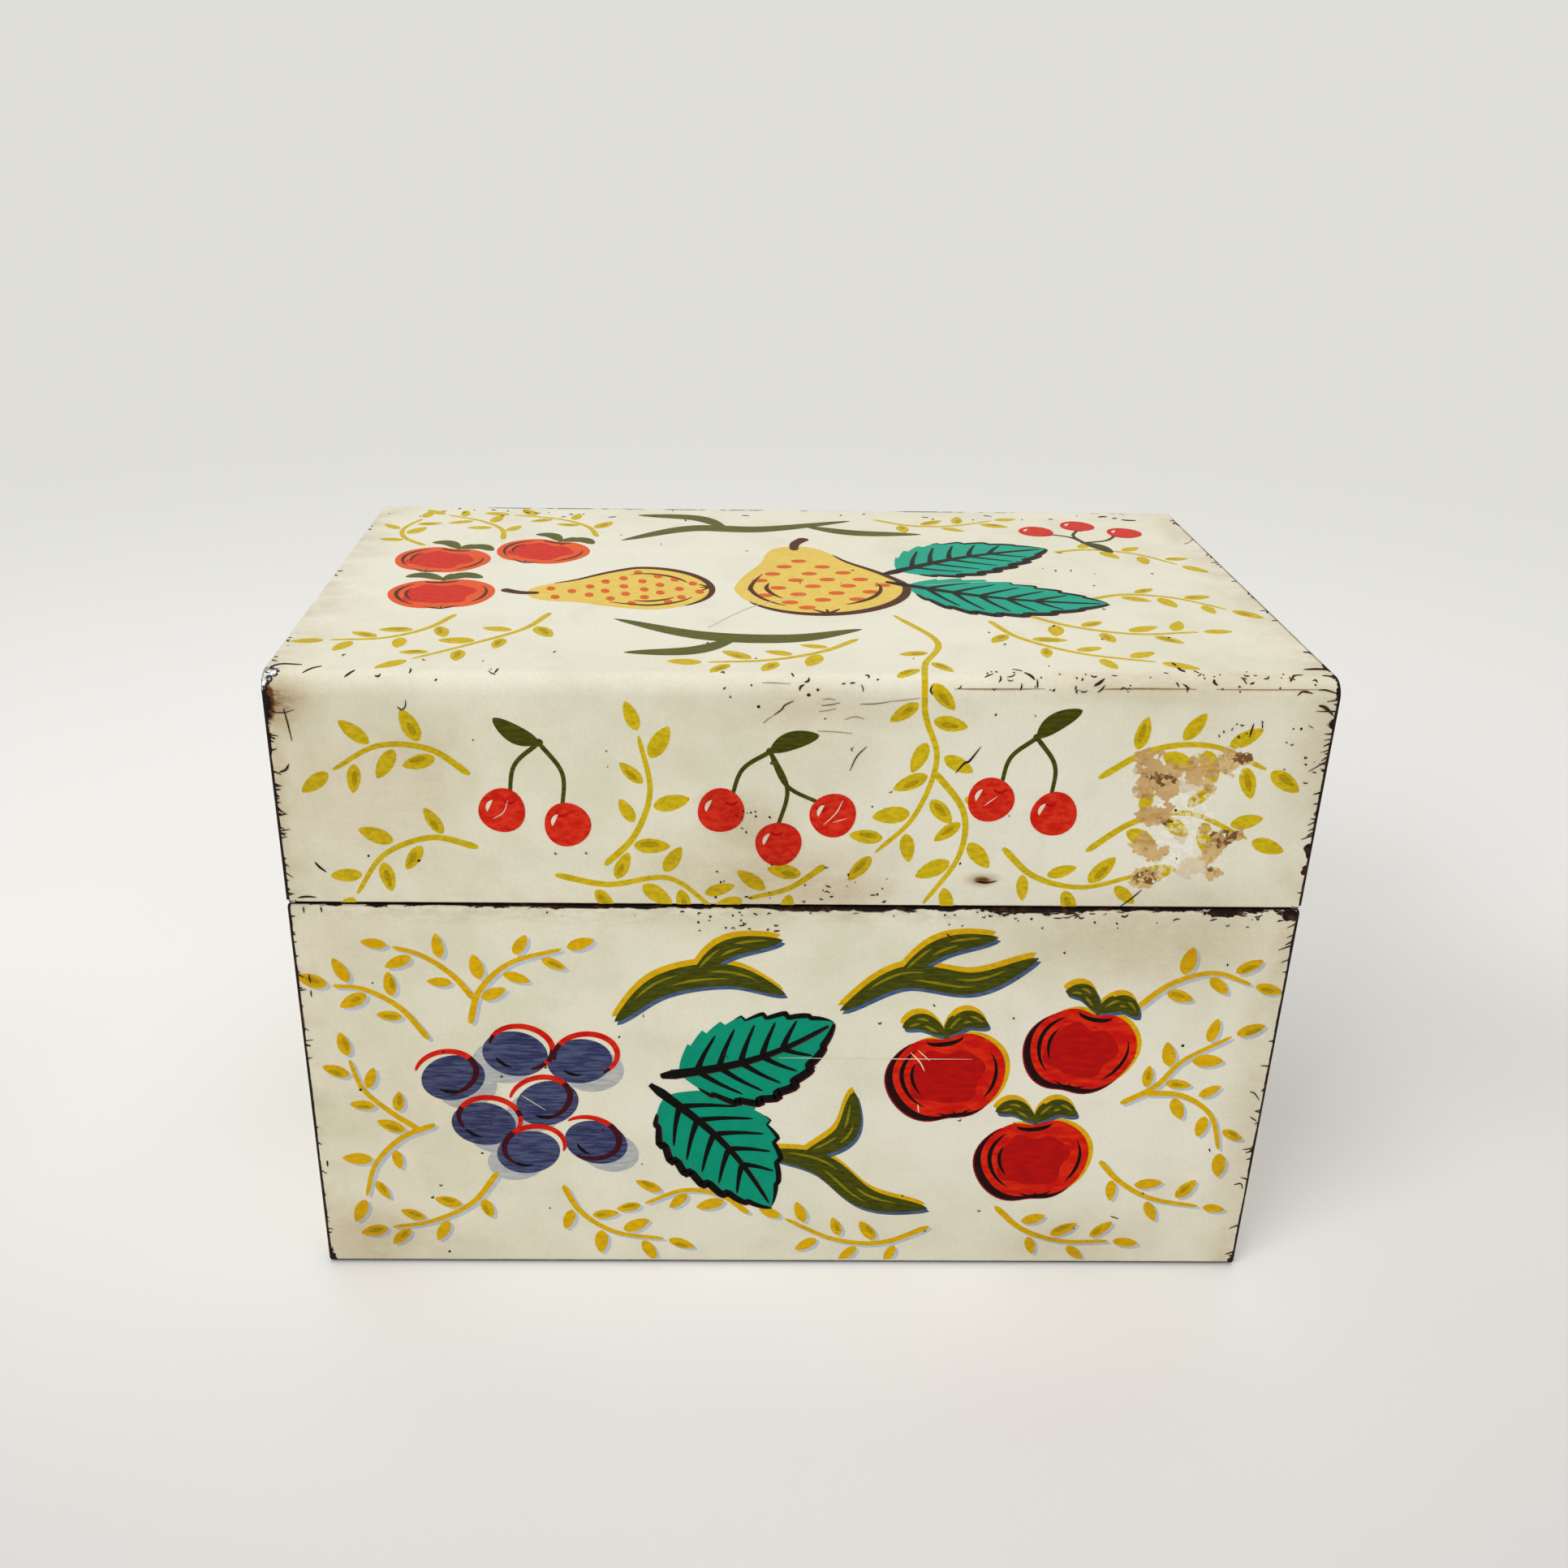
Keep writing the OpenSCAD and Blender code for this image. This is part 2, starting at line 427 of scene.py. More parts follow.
@dataclass(frozen=True)
class Ageing:
    """Where the coat has worn, browned and been stained, and where light and shade are painted on it, as
    one node group for every finish of the tin.

    The group reads the place on the box, so a chip in the coat takes the ink on it away as well.
    """

    stains: tuple[Spot, ...] = (
        Spot((44, -41, 93), (26, 3, 2.6), 0.34),
        *on_front((24.6, 65.6, 2.6, 1.2)),
        *on_front(
            (-68.5, 90.6, 3.0, 4.8, 1.9), (-67.4, 90.2, 7.0, 5.0, 0.8), (-11, 77, 2.6, 1.8, 0.5),
            (-7, 59, 16, 4, 0.15), deep=3,
        ),
        *on_front(
            (-68, 89, 12, 7, 0.36), (0, 90, 20, 4, 0.25), (2, 83, 10, 9, 0.14), (4, 64, 13, 4.5, 0.5),
            deep=4,
        ),
        *on_front(
            (-60, 55, 16, 12, 0.16), (-58, 30, 18, 30, 0.13), (-3, 66, 20, 7, 0.42), (-6, 73, 7, 6, 0.42),
            (48, 57, 30, 10, 0.38), (67, 84, 6, 16, 0.3), (42, 4, 18, 7, 0.28), deep=5,
        ),
        *on_front(
            (-68, 80, 3.4, 20, 0.5), (-59, 77, 20, 19, 0.26), (-62, 4, 15, 10, 0.5), (67, 24, 6, 30, 0.3),
            (30, 8, 30, 8, 0.12), deep=6,
        ),
    )
    bare: tuple[Spot, ...] = (
        Spot((-68.2, -41.4, 93.2), (2.3, 2.3, 2.3)),
        Spot((-67.4, -40.5, 94.0), (2.5, 1.6, 1.4)),
        Spot((-68, -42, 90.6), (1.8, 2.4, 4.0), 0.95),
        Spot((-68, -42, 85.0), (1.1, 2.0, 4.0), 0.86),
        Spot((68.2, -40.2, 94), (1.5, 2.6, 1.6)),
        Spot((68.2, -41.8, 92.8), (1.4, 1.8, 2.2)),
        Spot((68, -42, 88.4), (1.8, 2, 1.6), 0.85),
        Spot((68, -42, 70.3), (1.9, 2.2, 1.7)),
        Spot((68, -42, 67.4), (1.6, 2.2, 1.2)),
        Spot((-68, -42, 0.6), (1.9, 2.4, 4.6), 0.9),
        Spot((68, -42, 0.4), (1.9, 2.4, 3.4), 0.9),
        Spot((57.5, -42, 60.9), (4.2, 1.0, 1.1), 0.95),
        Spot((66.6, -42, 60.6), (2.4, 1.0, 1.5), 0.8),
        Spot((-68, 42, 94), (1.6, 1.8, 1.6), 0.8),
        Spot((68, 42, 94), (1.6, 1.8, 1.6), 0.8),
    )
    # Painted light: broad patches on the top and on the front's right half, where the cream is made lighter
    # and cooler.
    clean: tuple[Spot, ...] = (
        Spot((-30, 0, 94), (70, 56, 5), 0.75),
        Spot((6, -24, 94), (50, 30, 5), 0.6),
        Spot((50, 10, 94), (40, 46, 5), 0.3),
        *on_front((32, 74, 40, 20, 0.62), (38, 26, 36, 30, 0.75), (-8, 26, 34, 28, 0.4), deep=5),
    )
    gum: tuple[Spot, ...] = on_front(
        (44.5, 83.4, 3.0, 2.0), (46.4, 81.4, 4.8, 2.7), (45.2, 79.2, 2.9, 2.3), (47.7, 78.8, 2.2, 1.8),
        (50.9, 82.6, 2.4, 2.2), (51.7, 81.0, 3.2, 1.8), (54.8, 83.0, 2.6, 2.6), (53.0, 79.2, 1.3, 1.2),
        (56.8, 83.4, 1.6, 1.4), (46.2, 75.2, 3.2, 1.7), (48.2, 76.4, 0.9, 1.4), (48.1, 74.2, 0.9, 1.1),
        (45.3, 71.2, 2.1, 2.3), (47.3, 70.0, 2.5, 1.9), (46.2, 66.1, 3.0, 2.2), (55.8, 72.1, 2.4, 2.0),
        (57.6, 72.6, 1.6, 1.1), (54.6, 70.0, 1.8, 2.7), (55.4, 66.8, 1.7, 1.4), (53.2, 73.5, 1.0, 1.3),
    )
    wash: tuple[Spot, ...] = on_front(
        (52.3, 67.8, 3.2, 2.2), (50.0, 72.4, 1.4, 1.3), (50.6, 79.6, 3.6, 1.6),
    )
    tar: tuple[Spot, ...] = on_front(
        (56.0, 72.1, 2.4, 1.9), (56.6, 83.6, 1.9, 1.6, 0.8), (46.6, 80.6, 3.6, 1.5, 0.75),
        (46.2, 66.2, 2.6, 1.9, 0.8), (54.8, 67.4, 1.1, 0.8, 0.85), (48.2, 74.1, 1.0, 1.0, 0.9),
    )
    rubbed: tuple[Spot, ...] = on_front(
        (50.2, 74.6, 5.6, 7.5), (49.0, 70.4, 4.0, 6.5), (56.0, 83.2, 3.4, 3.0, 0.9),
    )
    flake_size: float = 0.5
    speck_pitch: float = 5.5
    crest_inset: float = 1.9

    def build(self) -> bpy.types.NodeTree:
        """Makes the node group.

        Returns:
            The group, whose outputs are the fields of Wear in their order.
        """
        tree = bpy.data.node_groups.new("tin_ageing", "ShaderNodeTree")
        g = TinGraph(tree)
        worn = self._worn(g)
        gum, tar, flake, rubbed = self._residue(g)
        # Painted light: where the cream is made lighter and cooler.
        clean = self._spots(g, g.place, self.clean, g.broad, 0.5)
        relief = self._relief(g, worn, gum)
        told = Wear(
            worn, self._bright(g), self._grime(g), gum, tar, flake, rubbed, clean, relief,
            self._inside(g), g.place,
        )
        for name, value in vars(told).items():
            kind = "NodeSocketVector" if value is g.place else "NodeSocketFloat"
            tree.interface.new_socket(name, in_out="OUTPUT", socket_type=kind)
        g.filled("NodeGroupOutput", *vars(told).values())
        return tree

    def _worn(self, g: TinGraph) -> Socket:
        """Wires where the coat is gone, and where shade is painted as dark as its oxide.

        Args:
            g: the graph.

        Returns:
            1 on worn folds, rims and seams, in chips and on specks, and where shade is painted in the
            seam's gap and along the foot; 0 where the coat is whole.
        """
        spared = g.between(g.on_top, 1.0, g.between(g.fade(g.x, -10, 10), 0.3, 0.55))
        fold_width = g.product(g.between(g.broad, 0.36, 0.74), spared)
        fold_core = g.product(fold_width, g.between(g.bitty, 0.5, 1.05))
        fold_line = g.fade(g.to_fold, fold_width, fold_core)
        nibbles = g.fade(g.maths("SUBTRACT", g.bitty, g.product(g.to_fold, 0.16)), 0.575, 0.615)
        nibbles = g.product(nibbles, g.fade(g.to_fold, 2.6, 0.8), g.between(g.on_top, 1.0, 0.5))
        # Wear along the lid's rim, and painted shade in the seam's gap, where the neck behind is made as
        # dark as bare oxide.
        rim_wear_and_gap_shade = g.fade(g.to_seam, g.between(g.ragged, -0.05, 0.34), 0.0)
        # Wear along the bottom edge, with a contact shadow painted into it as a dark band.
        foot_wear_and_shadow = g.fade(g.z, g.between(g.ragged, 0.7, 1.05), 0.5)
        foot_wear_and_shadow = g.product(foot_wear_and_shadow, g.fade(g.to_side, 1.5, 0.8))
        foot_rubs = g.product(g.fade(g.z, 0.3, 0.1), g.fade(g.broad, 0.56, 0.62))
        chips = g.fade(self._bare(g), 0.48, 0.56)
        return g.highest(
            fold_line, nibbles, self._seam_wear(g), rim_wear_and_gap_shade, foot_wear_and_shadow, foot_rubs, chips,
            self._crest(g), self._specks(g),
        )

    def _seam_wear(self, g: TinGraph) -> Socket:
        """Wires the base's wear under the seam: chips that hang down, mostly at the right, and a line.

        Args:
            g: the graph.

        Returns:
            1 where the coat is gone.
        """
        right_side = g.between(g.fade(g.x, -25, 42), 0.35, 1.0)
        drop = g.between(g.product(right_side, g.fade(g.broad, 0.3, 0.6)), 0.12, 1.1)
        hanging = g.maths("DIVIDE", g.to_seam, g.product(drop, 5.0))
        chips = g.fade(g.maths("SUBTRACT", g.ragged, hanging), 0.40, 0.47)
        chips = g.product(chips, g.fade(g.to_seam, 2.4, 1.0))
        patchy = g.between(g.fade(g.broad, 0.40, 0.62), 0.18, 1.05)
        swell = g.product(g.fade(g.x, -62, 6), g.fade(g.x, 54, 46), patchy)
        line = g.fade(g.to_seam, g.between(swell, 0.1, 0.75), g.between(swell, 0.04, 0.5))
        return g.product(g.highest(chips, line), g.below_seam)

    def _crest(self, g: TinGraph) -> Socket:
        """Wires patches of wear along the crest of the top's back bend.

        Args:
            g: the graph.

        Returns:
            1 where the coat is gone.
        """
        off_crest = g.maths("ABSOLUTE", g.maths("SUBTRACT", g.y, TIN.depth / 2 - self.crest_inset))
        patchy = g.noise(g.mapped(g.place, shift=(2, 8, 6), stretch=(2.0, 1, 1)), 5, 4, 0.7)
        crest = g.product(g.fade(off_crest, 0.9, 0.55), g.fade(g.z, TIN.height - 1.4, TIN.height - 0.8))
        return g.product(crest, g.fade(patchy, 0.50, 0.54), g.fade(g.ragged, 0.38, 0.46))

    def _bare(self, g: TinGraph) -> Socket:
        """How strongly a place lies in one of the big chips, at most 1."""
        return g.lowest(1.0, self._spots(g, g.place, self.bare, g.bitty, 0.9))

    def _bright(self, g: TinGraph) -> Socket:
        """1 where a chip at the top left still shows bright metal."""
        fresh = g.product(g.fade(self._bare(g), 0.62, 0.85), g.fade(g.ragged, 0.42, 0.5))
        return g.product(fresh, g.fade(g.z, TIN.height - 3, TIN.height - 2), g.fade(g.x, 10, -10))

    def _residue(self, g: TinGraph) -> tuple[Socket, Socket, Socket, Socket]:
        """Wires the dried paper and gum on the lid's front, which tore off in small flakes.

        Args:
            g: the graph.

        Returns:
            Gum, tar on it, each flake's own number, and where the ink was rubbed pale.
        """
        middle, chance, rim = g.flakes(g.place, self.flake_size)
        torn = g.noise(middle, 1.6, 2, 0.5)
        gum, wash, tar, rubbed = (
            g.fade(self._spots(g, middle, spots, torn, 0.8), 0.45, 0.52)
            for spots in (self.gum, self.wash, self.tar, self.rubbed)
        )
        on_face = g.fade(g.y, 1.0 - TIN.depth / 2, 0.5 - TIN.depth / 2)
        gum = g.product(gum, g.fade(chance, 0.04, 0.05))
        gum = g.product(g.highest(gum, g.product(wash, 0.42)), on_face)
        creased = g.product(g.fade(rim, 0.12, 0.04), g.fade(torn, 0.5, 0.6), g.fade(chance, 0.4, 0.5))
        tar = g.highest(g.product(tar, g.fade(chance, 0.2, 0.6)), g.product(creased, 0.7))
        return gum, tar, chance, g.product(rubbed, g.fade(chance, 0.45, 0.5), on_face)

    def _grime(self, g: TinGraph) -> Socket:
        """Wires the brown dirt along folds and seam, in stains and in faint clouds.

        Args:
            g: the graph.

        Returns:
            The dirt, from 0 to 1.
        """
        near_fold = g.product(g.fade(g.to_fold, 8, 0), g.fade(g.broad, 0.3, 0.75), 0.4)
        near_seam = g.product(g.fade(g.to_seam, 4.5, 0), g.fade(g.ragged, 0.3, 0.7))
        near_seam = g.product(near_seam, g.between(g.below_seam, 0.14, 0.36))
        cloudy = g.noise(g.mapped(g.place, shift=(50, 2, 9)), 11, 4, 0.6, 0.6)
        smears = g.noise(g.mapped(g.place, shift=(9, 9, 1), stretch=(2.2, 1, 1)), 1.1, 5, 0.75)
        stains = self._spots(g, g.place, self.stains, g.broad, 0.8)
        stains = g.product(stains, g.between(smears, 0.35, 1.5))
        clouds = g.product(g.fade(cloudy, 0.45, 0.8), 0.13)
        return g.maths("ADD", g.highest(near_fold, near_seam, stains), clouds, clamp=True)

    @staticmethod
    def _relief(g: TinGraph, worn: Socket, gum: Socket) -> Socket:
        """Wires the height of the surface: a fine tooth, slow waves in the sheet, worn places and gum.

        Args:
            g: the graph.
            worn: 1 where the coat is gone, and where shade is painted.
            gum: 1 on residue.

        Returns:
            The height.
        """
        grain = g.noise(g.place, 0.35, 2, 0.5)
        waves = g.noise(g.mapped(g.place, shift=(4, 4, 4)), 14, 1, 0.4)
        relief = g.maths("ADD", g.product(grain, 0.02), g.product(waves, 0.25))
        relief = g.maths("SUBTRACT", relief, g.product(worn, 0.05))
        return g.maths("ADD", relief, g.product(gum, g.between(g.bitty, 0.02, 0.12)))

    @staticmethod
    def _spots(g: TinGraph, place: Socket, spots: Sequence[Spot], noise: Socket, ragged: float) -> Socket:
        """Wires several soft round marks.

        Args:
            g: the graph.
            place: position in millimetres.
            spots: the marks.
            noise: what breaks their edges up.
            ragged: how strongly it does.

        Returns:
            The strongest mark at the place, each its full strength in its middle and 0 at its reach.
        """
        strongest: Any = 0.0
        rough = g.product(g.maths("SUBTRACT", noise, 0.5), ragged)
        for spot in spots:
            near = g.mapped(place, [-m / r for m, r in zip(spot.middle, spot.reach)], spot.reach)
            uneven = g.maths("ADD", g.length(near), rough)
            strongest = g.highest(strongest, g.product(g.fade(uneven, 1.25, 0.1), spot.strength))
        return strongest

    def _specks(self, g: TinGraph) -> Socket:
        """Wires sparse small chips that are scattered over the coat.

        Args:
            g: the graph.

        Returns:
            1 in a chip.
        """
        cells, chance = g.cells(g.place, self.speck_pitch)
        size = g.product(g.fade(chance, 0.55, 1.0), 0.055)
        speck = g.fade(cells.outputs["Distance"], size, g.product(size, 0.6))
        return g.product(speck, g.fade(size, 0.004, 0.006))

    @staticmethod
    def _inside(g: TinGraph) -> Socket:
        """Wires the sheet's uncoated side, which faces into the box, but not the hem or the knuckles.

        Args:
            g: the graph.

        Returns:
            1 on the uncoated side.
        """
        from_middle = g.mapped(g.place, shift=(0, 0, -TIN.height / 2))
        facing = g.filled("ShaderNodeVectorMath", g.normal, from_middle, operation="DOT_PRODUCT")
        inward = g.fade(facing.outputs["Value"], 0.5, -0.5)
        above_rim = g.maths("SUBTRACT", g.z, TIN.seam)
        in_hem = g.product(g.fade(above_rim, 0, 0.1), g.fade(above_rim, TIN.hem + 0.25, TIN.hem + 0.15))
        off_wall = g.lowest(
            g.maths("SUBTRACT", TIN.width / 2 - TIN.sheet, g.maths("ABSOLUTE", g.x)),
            g.maths("ADD", g.y, TIN.depth / 2),
        )
        hem = g.product(in_hem, g.fade(off_wall, TIN.sheet + 0.1, TIN.sheet + 0.2))
        from_pin = g.diagonal(g.maths("SUBTRACT", g.y, TIN.hinge_y), above_rim)
        off_wire = g.fade(from_pin, TIN.knuckle - 0.15, TIN.knuckle - 0.1)
        rolled = g.product(off_wire, g.fade(from_pin, TIN.knuckle + 0.25, TIN.knuckle + 0.15))
        return g.product(inward, g.maths("SUBTRACT", 1.0, g.highest(hem, rolled)))


BACKDROP = rgb(224, 223, 218)
TOOTH = rgb(250, 249, 246)
DUST = rgb(196, 170, 132)
THICK_DIRT = rgb(150, 112, 78)
RUBBED_INK = rgb(236, 234, 224)
PAPERS = (rgb(216, 186, 132), rgb(196, 164, 110))
PAPER_CLOUD = rgb(186, 148, 100)
GLUED = rgb(228, 200, 148)
OLD_TAR = rgb(112, 78, 44)
# Dark oxide of bare tin, also used as the painted shade in the seam's gap and along the foot.
OXIDE_AND_SHADE_DARKS = (rgb(27, 18, 15), rgb(74, 44, 27))
METALS = (rgb(206, 206, 202), rgb(120, 118, 114))
LACQUERS = (rgb(198, 188, 158), rgb(172, 158, 124))
SPANGLE = rgb(214, 210, 198)
RUST_FRECKLE = rgb(112, 68, 38)
WIRE_STEELS = (rgb(150, 148, 144), rgb(108, 106, 102))
WIRE_RUST = rgb(88, 58, 40)


@dataclass(frozen=True)
class Coat:
    """One colour on the tin: the cream ground or an ink on it, aged by the shared group."""

    name: str
    colour: Colour
    mottle: Colour
    mottle_grain: float = 1.2
    streak: Place = (1, 1, 1)
    roughness: float = 0.42
    bare_inside: bool = False
    # A lighter, cooler colour for painted light, laid on the patches that the wear group gives.
    clean: Colour | None = None
    worn_roughness: float = 0.6
    metal_roughness: float = 0.3

    def build(self, ageing: bpy.types.NodeTree) -> bpy.types.Material:
        """Makes the material.

        Args:
            ageing: the shared wear group.

        Returns:
            The material.
        """
        material, g, shader = start_finish(self.name)
        wear = Wear(*g.node("ShaderNodeGroup", node_tree=ageing).outputs)
        spread = g.noise(g.mapped(wear.place, stretch=self.streak), self.mottle_grain, 4, 0.6)
        tone = self._soiled(g, wear, spread)
        tone = g.blend(wear.gum, tone, self._residue(g, wear, spread, tone))
        rust = g.noise(g.mapped(wear.place, shift=(8, 1, 3)), 1.4, 4, 0.65)
        # Where the coat is gone, oxide or bright metal shows; the same dark oxide is the painted shade in
        # the seam's gap and along the foot.
        oxide_and_shade = g.blend(g.fade(rust, 0.5, 0.72), *OXIDE_AND_SHADE_DARKS)
        metal = g.blend(g.fade(rust, 0.4, 0.7), *METALS)
        tone = g.blend(wear.worn, tone, g.blend(wear.bright, oxide_and_shade, metal))
        shine = g.product(wear.worn, wear.bright)
        rough = g.between(spread, self.roughness - 0.06, self.roughness + 0.08)
        rough = g.between(g.highest(wear.worn, g.product(wear.gum, 0.7)), rough, self.worn_roughness)
        rough = g.between(shine, rough, self.metal_roughness)
        if self.bare_inside:
            tone, rough, shine = self._bare_side(g, wear, tone, rough, shine)
        g.fill(shader, {
            "Base Color": tone, "Roughness": rough, "Metallic": shine, "Specular IOR Level": 0.06,
            "Coat Weight": 0.03, "Coat Roughness": 0.25, "Normal": g.bump(wear.relief, 0.35, 0.3),
        })
        return material

    def _soiled(self, g: Graph, wear: Wear, spread: Socket) -> Socket:
        """Wires the coat's own colour under its dirt, lighter and cooler where light is painted on, and
        paler where its ink was rubbed.

        Args:
            g: the graph.
            wear: what the wear group tells.
            spread: the noise that mottles the coat.

        Returns:
            The colour.
        """
        tone = g.blend(g.fade(spread, 0.35, 0.68), self.colour, self.mottle)
        # Painted light: lighter, cooler patches of cream where the lamps leave it dim.
        if self.clean:
            tone = g.blend(wear.clean, tone, self.clean)
        tooth = g.noise(g.mapped(wear.place, shift=(6, 2, 1)), 0.5, 4, 0.7)
        tone = g.blend(g.fade(tooth, 0.36, 0.66), tone, TOOTH, "MULTIPLY")
        tone = g.blend(wear.grime, tone, DUST, "MULTIPLY")
        tone = g.blend(g.fade(wear.grime, 0.62, 1.0), tone, THICK_DIRT, "MULTIPLY")
        return g.blend(g.product(wear.rubbed, 0.42), tone, RUBBED_INK)

    @staticmethod
    def _residue(g: Graph, wear: Wear, spread: Socket, under: Socket) -> Socket:
        """Wires the dried paper, through which the coat under it shows a little, and the tar on it.

        Args:
            g: the graph.
            wear: what the wear group tells.
            spread: the noise that mottles the coat.
            under: the coat's colour.

        Returns:
            The colour.
        """
        paper = g.blend(wear.flake, *PAPERS)
        paper = g.blend(g.fade(spread, 0.35, 0.6), paper, PAPER_CLOUD)
        paper = g.blend(0.68, g.blend(1.0, under, GLUED, "MULTIPLY"), paper)
        return g.blend(wear.tar, paper, OLD_TAR)

    @staticmethod
    def _bare_side(g: Graph, wear: Wear, *coat: Socket) -> tuple[Socket, Socket, Socket]:
        """Wires the uncoated side: dull tin under a yellowed lacquer, with small rust marks.

        Args:
            g: the graph.
            wear: what the wear group tells.
            coat: colour, roughness and metallic of the coated side.

        Returns:
            Colour, roughness and metallic of both sides together.
        """
        tone, rough, shine = coat
        cloud = g.noise(g.mapped(wear.place, shift=(2, 6, 4)), 9, 4, 0.6)
        spangle = g.noise(g.mapped(wear.place, stretch=(6, 1, 1)), 0.5, 3, 0.6)
        lacquer = g.blend(g.fade(cloud, 0.3, 0.7), *LACQUERS)
        lacquer = g.blend(g.product(g.fade(spangle, 0.4, 0.7), 0.25), lacquer, SPANGLE)
        freckle = g.noise(g.mapped(wear.place, shift=(5, 8, 2)), 1.1, 4, 0.7)
        rusted = g.fade(freckle, 0.70, 0.76)
        lacquer = g.blend(rusted, lacquer, RUST_FRECKLE)
        return (
            g.blend(wear.inside, tone, lacquer),
            g.between(wear.inside, rough, g.between(g.highest(cloud, rusted), 0.3, 0.5)),
            g.between(wear.inside, shine, g.between(rusted, 0.92, 0.1)),
        )


# The cream's third colour is painted light, lighter and cooler, on patches where the lamps leave it dim.
CREAM = Coat(
    "cream_coat", rgb(221, 216, 196), rgb(212, 209, 186), 9.0,
    roughness=0.40, bare_inside=True, clean=rgb(227, 224, 211),
)


class Ink(Enum):
    """The colours of the print in the order they were laid, each on top of the one before."""

    HAZE = Coat("haze_blue_ink", rgb(174, 182, 194), rgb(186, 192, 198), 0.8)
    GREY = Coat("pearl_grey_ink", rgb(158, 162, 168), rgb(184, 184, 180), 0.5, (6, 1, 1))
    STRAW = Coat("straw_ink", rgb(206, 178, 24), rgb(180, 156, 10), 0.45, (2, 1, 1))
    GOLD = Coat("gold_ink", rgb(214, 169, 2), rgb(194, 152, 2), 0.45, (2, 1, 1))
    BRONZE = Coat("bronze_ink", rgb(154, 130, 2), rgb(182, 152, 6), 0.35, (3, 1, 1))
    HONEY = Coat("honey_ink", rgb(218, 186, 82), rgb(223, 194, 98), 1.4)
    STEEL = Coat("steel_blue_ink", rgb(54, 78, 118), rgb(78, 98, 130), 0.5, (4, 1, 1))
    UNDER_RIM = Coat("wine_under_ink", rgb(140, 8, 26), rgb(112, 8, 24), 0.6)
    SHADE = Coat("shade_ink", rgb(20, 2, 4), rgb(36, 4, 6), 0.8)
    BLUE = Coat("plum_blue_ink", rgb(40, 45, 82), rgb(78, 84, 116), 0.34, (9, 1, 1))
    OLIVE = Coat("olive_ink", rgb(52, 56, 2), rgb(74, 76, 6), 0.4, (5, 1, 1))
    MOSS = Coat("moss_ink", rgb(112, 106, 6), rgb(142, 128, 10), 0.4, (5, 1, 1))
    FERN = Coat("fern_ink", rgb(76, 80, 22), rgb(94, 96, 30), 0.4, (5, 1, 1))
    TEAL = Coat("teal_ink", rgb(0, 136, 107), rgb(2, 142, 113), 2.2)
    JADE = Coat("jade_ink", rgb(0, 153, 126), rgb(4, 159, 132), 2.2)
    CORAL = Coat("coral_ink", rgb(214, 78, 28), rgb(220, 90, 38), 0.9, (3, 1, 1))
    CHERRY = Coat("cherry_ink", rgb(190, 22, 4), rgb(212, 50, 26), 0.55, (2, 1, 1))
    RED = Coat("bright_red_ink", rgb(188, 6, 2), rgb(212, 40, 6), 0.8, (3, 1, 1))
    CARMINE = Coat("carmine_ink", rgb(160, 2, 2), rgb(182, 8, 2), 0.6, (4, 1, 1))
    TANGERINE = Coat("tangerine_ink", rgb(206, 86, 28), rgb(212, 100, 40), 0.6)
    WINE = Coat("wine_ink", rgb(70, 8, 22), rgb(46, 6, 18), 0.5)
    BROWN = Coat("bark_brown_ink", rgb(66, 30, 4), rgb(84, 42, 10), 0.6)
    BLACK = Coat("black_ink", rgb(3, 1, 0), rgb(10, 8, 4), 0.6)
    SPARED = Coat("spared_cream", rgb(219, 214, 194), rgb(210, 207, 184), 6.0)
    SCUFF = Coat("scuff_brown", rgb(168, 148, 118), rgb(140, 118, 90), 0.6, (3, 1, 1), 0.6)
    CRACK = Coat("crack_brown", rgb(30, 18, 14), rgb(78, 46, 28), 0.8, roughness=0.7)

    @property
    def lift(self) -> float:
        """Height of the ink's top over the coat, in millimetres."""
        return LOWEST_INK + INK_STEP * list(Ink).index(self)


@dataclass(frozen=True)
class WireFinish:
    """Drawn steel wire of the hinge, dulled and browned by age."""

    name: str = "hinge_wire"
    grain: float = 0.15
    drawn_out: float = 20

    def build(self) -> bpy.types.Material:
        """Makes the material.

        Returns:
            The material.
        """
        material, g, shader = start_finish(self.name)
        coords = g.node("ShaderNodeTexCoord")
        place = g.mapped(coords.outputs["Object"], stretch=(MM, MM, MM))
        drawn = g.noise(g.mapped(place, stretch=(self.drawn_out, 1, 1)), self.grain, 3, 0.6)
        brown = g.fade(g.noise(place, 2.5, 4, 0.65), 0.5, 0.68)
        g.fill(shader, {
            "Base Color": g.blend(brown, g.blend(drawn, *WIRE_STEELS), WIRE_RUST),
            "Roughness": g.between(brown, g.between(drawn, 0.3, 0.42), 0.75),
            "Metallic": g.between(brown, 1.0, 0.25),
            "Normal": g.bump(drawn, 0.2, 0.05),
        })
        return material


